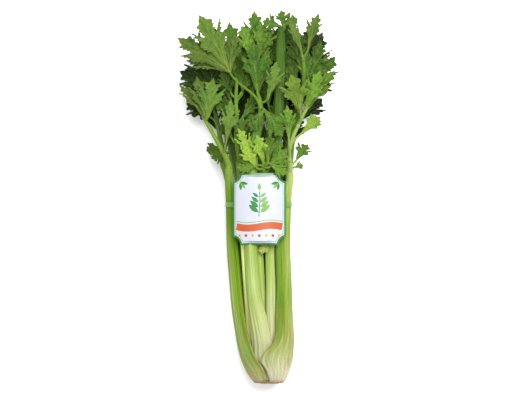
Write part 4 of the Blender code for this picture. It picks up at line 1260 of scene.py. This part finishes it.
def vein_lines(length, width, sides):
    """A leaf's midrib and its side veins to the lobes and the larger teeth, as flat lines with a size."""
    lines = [(vein_line(Vector((0, 0)), Vector((length * 0.97, 0)), 0.0), 1.0)]
    for side, sign in zip(sides, (1, -1)):
        corners = [Vector((u * length, v * width * sign)) for u, v in side]
        lobe = vein_line(Vector((0.04 * length, 0)), corners[4] * 0.95, 0.35)
        between = corners[3].lerp(corners[4], 0.4) * 0.95
        lines += [
            (lobe, 0.75),
            (vein_line(lobe[len(lobe) // 2], corners[2] * 0.95, 0.2), 0.4),
            (vein_line(Vector((0.40 * length, 0)), corners[6] * 0.96, 0.3), 0.55),
            (vein_line(Vector((0.66 * length, 0)), corners[7] * 0.97, 0.3), 0.35),
            (vein_line(lobe[2 * len(lobe) // 3], between, 0.2), 0.3),
        ]
    return lines


class Leaf:
    """One leaf: its place and pose, its veins, its uneven surface and its colours."""

    def __init__(self, base, blade, sides, tone, underside_up, draw):
        tip, self.width, roll, self.bow, self.fold, _ = blade
        self.base = base
        self.length = (tip - base).length
        self.along, self.across, self.normal = blade_frame(base, tip, roll)
        self.underside_up = underside_up
        self.ripple = draw.uniform(*RIPPLES)
        self.wave = draw.uniform(*WAVE_LENGTHS)
        self.phases = (draw.uniform(*PHASES), draw.uniform(*PHASES))
        self.droop = draw.uniform(*DROOPS)
        self.seed = draw.uniform(*LEAF_SEEDS)
        light = draw.uniform(*LIGHTNESS)
        self.upper, self.under = (colour(code) * light for code in LEAF_COLOURS[tone])
        self.warm = draw.uniform(*WARMTH)
        self.veins = vein_lines(self.length, self.width, sides)
        self.tree = near_tree([point for line, _ in self.veins for point in line])
        self.vein_sizes = [size for line, size in self.veins for _ in line]

    def vein(self, flat, half_width):
        """How near a flat point is to a vein, from 0 to 1, by the vein's size."""
        index, distance = nearest(self.tree, flat)
        return math.exp(-((distance / half_width) ** 2)) * self.vein_sizes[index] ** 0.5

    def point(self, flat, lift=0.0):
        """The place of a flat point on the uneven leaf, in the tables' millimetres."""
        u = flat[0] / self.length
        v = flat[1] / self.width
        side = min(abs(v) * 2, 1.2)
        crease = math.sqrt(v * v + 0.0016) - 0.04
        rise = self.length * self.bow * 4 * u * (1 - u) + self.width * self.fold * crease
        phase = self.phases[0] if v > 0 else self.phases[1]
        size = min(self.width / FULL_WIDTH, 1.0)
        rise += self.ripple * size * side**1.6 * math.sin(flat[0] * 2 * math.pi / self.wave + phase)
        rise -= self.droop * size * (side**3 + 0.6 * max(u - 0.7, 0.0) * 3)
        bump = noise.noise(Vector((flat[0] / BUMP_LENGTH, flat[1] / BUMP_LENGTH, self.seed)))
        rise += BUMP_HEIGHT * bump * size
        relief = VEIN_RELIEF * self.vein(flat, VEIN_HALF_WIDTH)
        relief += PLEAT_RELIEF * size * self.vein(flat, PLEAT_HALF_WIDTH)
        rise += relief * (1 if self.underside_up else -1)
        point = self.base + self.along * flat[0] + self.across * flat[1] + self.normal * (rise + lift)
        return Vector((point.x, point.y, min(max(point.z, LEAF_FLOOR), LEAF_CEILING)))

    def tints(self, flat, margin):
        """The colours of both sides of the leaf at a flat point, at a distance from the margin."""
        near = self.vein(flat, VEIN_HALF_WIDTH)
        vein_tint = colour(VEIN_COLOUR)
        u = flat[0] / self.length
        spot = noise.noise(Vector((flat[0] / SPOT_LENGTH, flat[1] / SPOT_LENGTH, self.seed + 5)))
        base_share = BASE_SHARE * (1 - step_up(u, 0.0, BASE_LENGTH))
        shade = 1 + 0.24 * spot + 0.10 * (u - 0.5)
        warmth = Vector((1 + self.warm + 0.1 * spot, 1.0, 1 - self.warm))
        edge = MARGIN_SHARE * (1 - step_up(margin, 0.0, MARGIN_WIDTH))
        found = []
        for plain, (vein_share, stem_share) in zip((self.upper, self.under), VEIN_SHARES):
            tint = Vector([a * b for a, b in zip(plain * shade, warmth)])
            tint = tint.lerp(vein_tint, vein_share * near + base_share * stem_share)
            found.append(tint.lerp(vein_tint, edge))
        return found


def inner_points(leaf, outline, rim):
    """The flat points inside a leaf's outline: along its veins, and on a grid between them."""
    inner = []
    for line, _ in leaf.veins:
        inner += [p for p in line if nearest(rim, p)[1] > 0.6 and inside(p, outline)]
    taken = near_tree(inner)
    crowded = bool(inner)
    reach = max(abs(p.y) for p in outline)
    for row in range(int(2 * reach / GRID_ROW) + 1):
        y = -reach + row * GRID_ROW
        for column in range(int(leaf.length / GRID_STEP) + 1):
            p = Vector(((column + 0.5 * (row % 2)) * GRID_STEP, y))
            if crowded and nearest(taken, p)[1] <= 0.8:
                continue
            if nearest(rim, p)[1] > 0.9 and inside(p, outline):
                inner.append(p)
    return inner


def leaf_blade(sheet, leaf, sides, draw, plain):
    """Adds a leaf's sheet: a toothed margin filled with a fine mesh that follows the veins."""
    left, right = (toothed_side(side, leaf.length, leaf.width, draw, plain) for side in sides)
    outline = round_corners([Vector((p.x, -p.y)) for p in right] + left[-2::-1])
    rim = near_tree(outline)
    inner = inner_points(leaf, outline, rim)
    flat, _, faces, *_ = delaunay_2d_cdt(outline + inner, [], [list(range(len(outline)))], 1, 1e-5)
    upright = [tuple(face if face_area(flat, face) > 0 else reversed(face)) for face in faces]
    places = [leaf.point(p) for p in flat]
    pairs = [leaf.tints(p, nearest(rim, p)[1]) for p in flat]
    # Painted shade: leaves low in the head are darkened by their height.
    painted_shades = [PAINTED_DEEP_SHADE + (1 - PAINTED_DEEP_SHADE) * step_up(place.z, *PAINTED_SHADE_HEIGHTS) for place in places]
    sheet.add(
        places,
        upright,
        material=1 if leaf.underside_up else 0,
        upper=[upper * depth for (upper, _), depth in zip(pairs, painted_shades)],
        under=[under * depth for (_, under), depth in zip(pairs, painted_shades)],
        plane=[(p.x, p.y, leaf.seed) for p in flat],
    )


def leaf_veins(stems, leaf):
    """Adds the raised midrib and main side veins on a leaf's underside."""
    towards = 1 if leaf.underside_up else -1
    tint = colour(VEIN_COLOUR).lerp(leaf.under, 0.55)
    for line, size in leaf.veins:
        if size < LEAST_RAISED_VEIN:
            continue
        start = VEIN_RADIUS * size * min(leaf.width / 26, 1.0)
        radii = [start * (1 - k / (len(line) - 1)) ** 0.8 + VEIN_TIP_RADIUS for k in range(len(line))]
        path = [leaf.point(p, towards * (radius - VEIN_SINKS)) for p, radius in zip(line, radii)]
        tube(stems, path, radii, VEIN_SIDES, lambda share, _: tint.lerp(leaf.under, 0.6 * share))


def blade_parts(row):
    """A blade's tip, width, roll, bow, fold and depth of cuts, from a table's row."""
    return Vector(row[:3]), *row[3:], *USUAL_FORM[len(row) - 5 :]


def longest_reach(base, blades):
    """The line from a spray's base to the tip of its longest blade."""
    return max((Vector(row[:3]) - base for row in blades), key=lambda reach: reach.length)


def root_on(line, share):
    """The point at a share of a line, and the line's direction there."""
    place = share * (len(line) - 1)
    index = int(place)
    start, end = line[index], line[index + 1]
    return start.lerp(end, place - index), (end - start).normalized()


def stem_points(root, direction, base, end):
    """A stem that leaves along the midrib, bends over to the blades and runs a little way into them."""
    reach = (base - root).length
    first = root + direction * reach * 0.4
    second = base - end.normalized() * reach * 0.35
    points = []
    for k in range(STEM_STEPS + 1):
        t = k / STEM_STEPS
        points.append(
            root * (1 - t) ** 3 + first * 3 * t * (1 - t) ** 2 + second * 3 * t**2 * (1 - t) + base * t**3
        )
    return [*points, base + end * STEM_SINKS]


def stem_tint(name, share, centre):
    """The colour of a frond's stems, which go from the stalk's colour to a paler leaf green."""
    return stalk_colour(name, centre.y).lerp(colour(STEM_COLOUR), 0.6 * share)


def spray(stems, leaves, name, line, share, base, blades, look, draw, extra):
    """Adds a spray: its stem from the midrib's line, and its leaves in a tone, underside up or not."""
    tone, underside_up = look
    end = longest_reach(base, blades)
    if share < 1:
        path = stem_points(*root_on(line, share), base, end)
        first, last = STEM_RADII
        shares = [j / (len(path) - 1) for j in range(len(path))]
        radii = [first + (last - first) * t + STEM_FOOT * (1 - step_up(t, 0.0, 0.3)) for t in shares]

        def tint_at(t, centre):
            return stem_tint(name, 0.5 + 0.5 * t, centre)

        tube(stems, path, radii, STEM_SIDES, tint_at, STEM_GROOVES)
    for blade in map(blade_parts, blades):
        cut = blade[-1]
        sides = blade_outline(cut, draw)
        leaf = Leaf(base - end.normalized() * 0.5, blade, sides, tone, underside_up, extra)
        leaf_blade(leaves, leaf, sides, extra, plain=cut < 0)
        leaf_veins(stems, leaf)


def leaflet(line, share, side, draw):
    """The base and the blade of a small, steeply rolled leaf beside a midrib's line."""
    root, _ = root_on(line, share)
    base = root + Vector((side * 5, 5, draw.uniform(*LEAFLET_FOOT)))
    x, y, z = (draw.uniform(*span) for span in LEAFLET_TIP)
    tip = base + Vector((side * x, y, z))
    return base, (*tip, draw.uniform(*LEAFLET_WIDTH), side * draw.uniform(*LEAFLET_ROLL), *LEAFLET_BEND)


def midrib(stems, name, start, guide, tip):
    """Adds a frond's midrib, which starts inside its stalk and ends inside its top spray."""
    first, last = STALKS[name][-1][3] * MIDRIB_SHARE, MIDRIB_END
    sunk = [start - Vector((0, depth, 0)) for depth in MIDRIB_SINKS]
    line = [*sunk, start.lerp(guide[0], 0.5), *curve_through(guide, MIDRIB_STEPS), tip]
    shares = [0.0, 0.0, 0.0, 0.06, *(0.125 + 0.75 * k / MIDRIB_STEPS for k in range(MIDRIB_STEPS + 1)), 1.0]
    radii = [first + (last - first) * share**0.55 for share in shares]
    radii[0], radii[1], radii[-1] = first * 0.8, first * 0.95, last * 0.7

    def tint_at(share, centre):
        return stem_tint(name, share, centre)

    tube(stems, line, radii, MIDRIB_SIDES, tint_at, MIDRIB_GROOVES)


def frond(name):
    """One frond as two pieces: its stems with the raised veins, and its leaves."""
    draw = random.Random(f"{SEED} {name}")
    extra = random.Random(f"{SEED} {name} leaves")
    stems, leaves = Sheet(), Sheet()
    start = stalk_end(name) + Vector((0, GAP, 0))
    guide = [start + Vector((0, 4, 0)), *(Vector(point) for point in MIDRIBS[name])]
    line = [start, *curve_through(guide, 6)]
    sprays = [(share, Vector(base or line[-1]), blades) for share, base, *blades in SPRAYS[name]]
    top = next(longest_reach(base, blades) for share, base, blades in sprays if share == 1)
    midrib(stems, name, start, guide, line[-1] + top * STEM_SINKS)
    usual = (FROND_TONES[name], False)
    for k, parts in enumerate(sprays):
        spray(stems, leaves, name, line, *parts, SPRAY_LOOKS.get((name, k), usual), draw, extra)
    for share, base, tone, *blades in SMALL_SPRAYS.get(name, ()):
        spray(stems, leaves, name, line, share, Vector(base), blades, (tone, False), extra, extra)
    for side in LEAFLET_SIDES.get(name, ()):
        for share in LEAFLET_SHARES:
            base, blade = leaflet(line, share, side, extra)
            spray(stems, leaves, name, line, share, base, (blade,), usual, extra, extra)
    slot = "young_leaf" if name.startswith("heart") else "leaf"
    node = f"frond_{name}"
    stems.piece(f"{node}_stems", [MATERIALS["stem"]], node, slot)
    sides = [MATERIALS["upper"], MATERIALS["under"], MATERIALS["upper"]]
    sheet = leaves.piece(f"{node}_leaves", sides, node, slot).modifiers.new("thickness", "SOLIDIFY")
    sheet.thickness = LEAF_THICK * MM
    sheet.offset = 0.0
    sheet.material_offset = 1


def crown():
    """The root plate, slightly oval and uneven, which fills the middle between the stalks."""
    _, centre_x, _, centre_z, _ = BUNCH[0]
    cut_y = BUNCH[0][0]
    points = []
    rings = CROWN_PROFILE[1:-1]
    for y, radius in rings:
        for k in range(CROWN_SIDES):
            turn = 2 * math.pi * k / CROWN_SIDES
            wave = CROWN_WAVES * noise.noise(Vector((math.cos(turn) * 2, math.sin(turn) * 2, y / 6)))
            east, north = math.cos(turn) * radius / 3, math.sin(turn) * radius / 3
            dip = CROWN_DIPS * noise.noise(Vector((east, north, 7.0)))
            x = centre_x + (radius + wave) * math.cos(turn)
            z = centre_z + (radius + wave) * CROWN_FLATNESS * math.sin(turn)
            points.append((x, max(y + dip * (y < cut_y + 1), cut_y), z))
    faces = [(a, d, c, b) for a, b, c, d in ring_corners(CROWN_SIDES, len(rings))]
    first = len(points)
    points += [(centre_x, CROWN_PROFILE[0][0], centre_z), (centre_x, CROWN_PROFILE[-1][0], centre_z)]
    end = (len(rings) - 1) * CROWN_SIDES
    for k in range(CROWN_SIDES):
        after = (k + 1) % CROWN_SIDES
        faces.append((first, k, after))
        faces.append((first + 1, end + after, end + k))
    sheet = Sheet()
    sheet.add(points, faces)
    sheet.piece("crown_cut", [MATERIALS["crown"]], "crown", "crown")


def hull_outline(points):
    """The convex outline of flat points, anticlockwise."""
    points = sorted(set(points))

    def chain(run):
        kept = []
        for p in run:
            while len(kept) > 1:
                (ax, ay), (bx, by) = kept[-2], kept[-1]
                if (bx - ax) * (p[1] - ay) - (by - ay) * (p[0] - ax) > 0:
                    break
                kept.pop()
            kept.append(p)
        return kept[:-1]

    return chain(points) + chain(points[::-1])


def band():
    """A narrow film band drawn tight round the stalks, with softly rounded edges."""
    points = []
    for rows in STALKS.values():
        for y in (BAND_FROM, BAND_TO):
            angle, reach, width, _, curl = smooth(rows, y)
            for k in range(25):
                across = k / 12 - 1
                turned = angle + spread(y, width, reach) * across
                points.append(bunch_point(y, turned, reach, curl * across**2))
    outline = hull_outline(points)
    middle = Vector((sum(x for x, _ in outline), sum(z for _, z in outline))) / len(outline)
    points = []
    for along, rise in BAND_PROFILE:
        for x, z in outline:
            out = (Vector((x, z)) - middle).normalized()
            flat = Vector((x, z)) + out * (BAND_GAP + rise)
            points.append((flat.x, BAND_FROM + along, max(flat.y, 0.0)))
    sheet = Sheet()
    sheet.add(points, list(ring_corners(len(outline), len(BAND_PROFILE), closed=True)))
    sheet.piece("band_strip", [MATERIALS["band"]], "band", "band")


def label_half_width(y):
    """Half the label's width at a distance y from its middle: a plaque whose corners are scooped out."""
    into = abs(y) - (LABEL_HALF_LENGTH - LABEL_SCOOP)
    if into <= 0:
        return LABEL_HALF_WIDTH
    return LABEL_HALF_WIDTH - math.sqrt(max(LABEL_SCOOP**2 - (LABEL_SCOOP - into) ** 2, 0.0))


def plaque(inset):
    """The label's outline, moved in by inset, anticlockwise."""
    half_x, half_y = LABEL_HALF_WIDTH - inset, LABEL_HALF_LENGTH - inset
    line = []
    for corner_x, corner_y, first in ((1, 1, 270), (-1, 1, 0), (-1, -1, 90), (1, -1, 180)):
        centre = Vector((corner_x * LABEL_HALF_WIDTH, corner_y * LABEL_HALF_LENGTH))
        for k in range(9):
            point = centre + pointing(first - 90 * k / 8) * (LABEL_SCOOP + inset)
            line.append(Vector((min(max(point.x, -half_x), half_x), min(max(point.y, -half_y), half_y))))
    return line


def pointing(degrees):
    """A flat direction, turned anticlockwise from +X."""
    return Vector((math.cos(math.radians(degrees)), math.sin(math.radians(degrees))))


def sprig_leaf(base, degrees, length, width):
    """A pointed oval leaf, anticlockwise."""
    along = pointing(degrees)
    side = Vector((-along.y, along.x))
    right = [base + along * u * length - side * v * width for u, v in SPRIG_LEAF]
    left = [base + along * u * length + side * v * width for u, v in SPRIG_LEAF[-2:0:-1]]
    return right + left


def disc(centre, radius):
    """A printed dot, anticlockwise."""
    return [centre + pointing(360 * k / DOT_SIDES) * radius for k in range(DOT_SIDES)]


def strip(line, half):
    """A strip of even width along an open line, anticlockwise."""
    sides = []
    for k, p in enumerate(line):
        along = (line[min(k + 1, len(line) - 1)] - line[max(k - 1, 0)]).normalized()
        sides.append(Vector((-along.y, along.x)) * half)
    return [p - s for p, s in zip(line, sides)] + [p + s for p, s in reversed(list(zip(line, sides)))]


def label_shapes():
    """The printed areas in order, each a flat line and the number of its ink."""
    shapes = [(plaque(inset), ink) for inset, ink in BORDERS]
    for y, half, ink in WAVES:
        line = [Vector((x, y + 1.6 * math.sin(x / 9))) for x in range(-28, 29, 2)]
        shapes.append((strip(line, half), ink))
    shapes.append((strip([Vector((0.6 * math.sin(y / 7), y)) for y in range(-9, 22, 2)], 0.5), GREEN))
    for k, y in enumerate((-4, 2, 8, 14)):
        size = 15 - 2 * k
        for side, ink in ((-1, GREEN), (1, LIGHT_GREEN)):
            shapes.append((sprig_leaf(Vector((side * 0.9, y)), 90 - side * 52, size, size * 0.42), ink))
    shapes.append((sprig_leaf(Vector((0, 22)), 90, 9, 4.4), LIGHT_GREEN))
    for side in (-1, 1):
        for degrees, ink in CORNER_LEAVES:
            shapes.append((sprig_leaf(Vector((side * 23, 32)), 270 - side * degrees, 10, 3.8), ink))
    for k in range(7):
        shapes.append((disc(Vector((-24 + 8 * k, -31.5)), 1.7), RED if k % 2 else YELLOW))
    return shapes


def bent_card(flat, height):
    """Flat points of the label, bent over the bunch at a height above its underside."""
    radius = LABEL_BEND_RADIUS + height
    points = []
    for p in flat:
        turn = p.x / LABEL_BEND_RADIUS
        middle = LABEL_TOP + LABEL_RISE * p.y
        x = LABEL_X + radius * math.sin(turn)
        points.append((x, LABEL_Y + p.y, middle - LABEL_BEND_RADIUS + radius * math.cos(turn)))
    return points


def label():
    """The card, bent over the bunch, with its print as areas of the same mesh."""
    shapes = label_shapes()
    points, areas = [], []
    for line, _ in shapes:
        areas.append(list(range(len(points), len(points) + len(line))))
        points += line
    for y in range(-40, 41, 2):
        half = label_half_width(y) - 1.5
        points += [Vector((half * k / 14, y)) for k in range(-14, 15)]
    flat, _, found, _, _, origins = delaunay_2d_cdt(points, [], areas, 1, 1e-4)
    sheet = Sheet()
    sheet.add(bent_card(flat, LABEL_THICK) + bent_card(flat, 0.0), [])
    below = len(flat)
    open_sides = {}
    for face, origin in zip(found, origins):
        if face_area(flat, face) < 0:
            face = face[::-1]
        sheet.faces += [tuple(face), tuple(k + below for k in reversed(face))]
        sheet.materials += [shapes[max(origin)][1], FIELD]
        for a, b in zip(face, face[1:] + face[:1]):
            if open_sides.pop((b, a), None) is None:
                open_sides[(a, b)] = True
    sheet.faces += [(b, a, a + below, b + below) for a, b in open_sides]
    sheet.materials += [FIELD] * len(open_sides)
    made = sheet.piece("label_card", [printed_material(*ink) for ink in INKS], "label", "label")
    made.data.set_sharp_from_angle(angle=math.radians(LABEL_SHARP))


def floor():
    """A plain pale floor that reaches well past the view."""
    mesh = bpy.data.meshes.new("floor")
    half = FLOOR_HALF
    corners = [(-half, -half, 0.0), (half, -half, 0.0), (half, half, 0.0), (-half, half, 0.0)]
    mesh.from_pydata(corners, [], [(0, 1, 2, 3)])
    paper = Surface("floor_paper", 0.8, {"Specular IOR Level": 0.1})
    shade = paper.ramp(paper.noise(paper.object_place(), 3.0, 2.0), *FLOOR_GREYS)
    paper.feed(paper.shader, {"Base Color": shade})
    mesh.materials.append(paper.made)
    added("floor", mesh)


def light():
    """A white sky, and one large soft light that points at the middle of the head."""
    world = bpy.data.worlds.new("studio")
    world.use_nodes = True
    background = world.node_tree.nodes["Background"]
    background.inputs["Color"].default_value = (1.0, 1.0, 1.0, 1.0)
    background.inputs["Strength"].default_value = SKY_STRENGTH
    bpy.context.scene.world = world
    data = bpy.data.lights.new("key", "AREA")
    data.size = KEY_SIZE
    data.energy = KEY_POWER
    made = added("key", data)
    made.location = KEY_PLACE
    made.rotation_euler = (Vector(KEY_AIM) - Vector(KEY_PLACE)).to_track_quat("-Z", "Y").to_euler()


def camera():
    """A long lens high above the head, which looks straight down."""
    data = bpy.data.cameras.new("camera")
    data.lens = LENS
    data.sensor_width = SENSOR
    data.clip_end = FARTHEST
    made = added("camera", data)
    made.location = placed(VIEW_CENTRE) + Vector((0, 0, VIEW_WIDTH * LENS / SENSOR * MM))
    bpy.context.scene.camera = made
    bpy.context.scene.view_settings.view_transform = "Standard"


for stalk_name in STALKS:
    stalk(stalk_name)
    frond(stalk_name)
crown()
band()
label()
floor()
light()
camera()
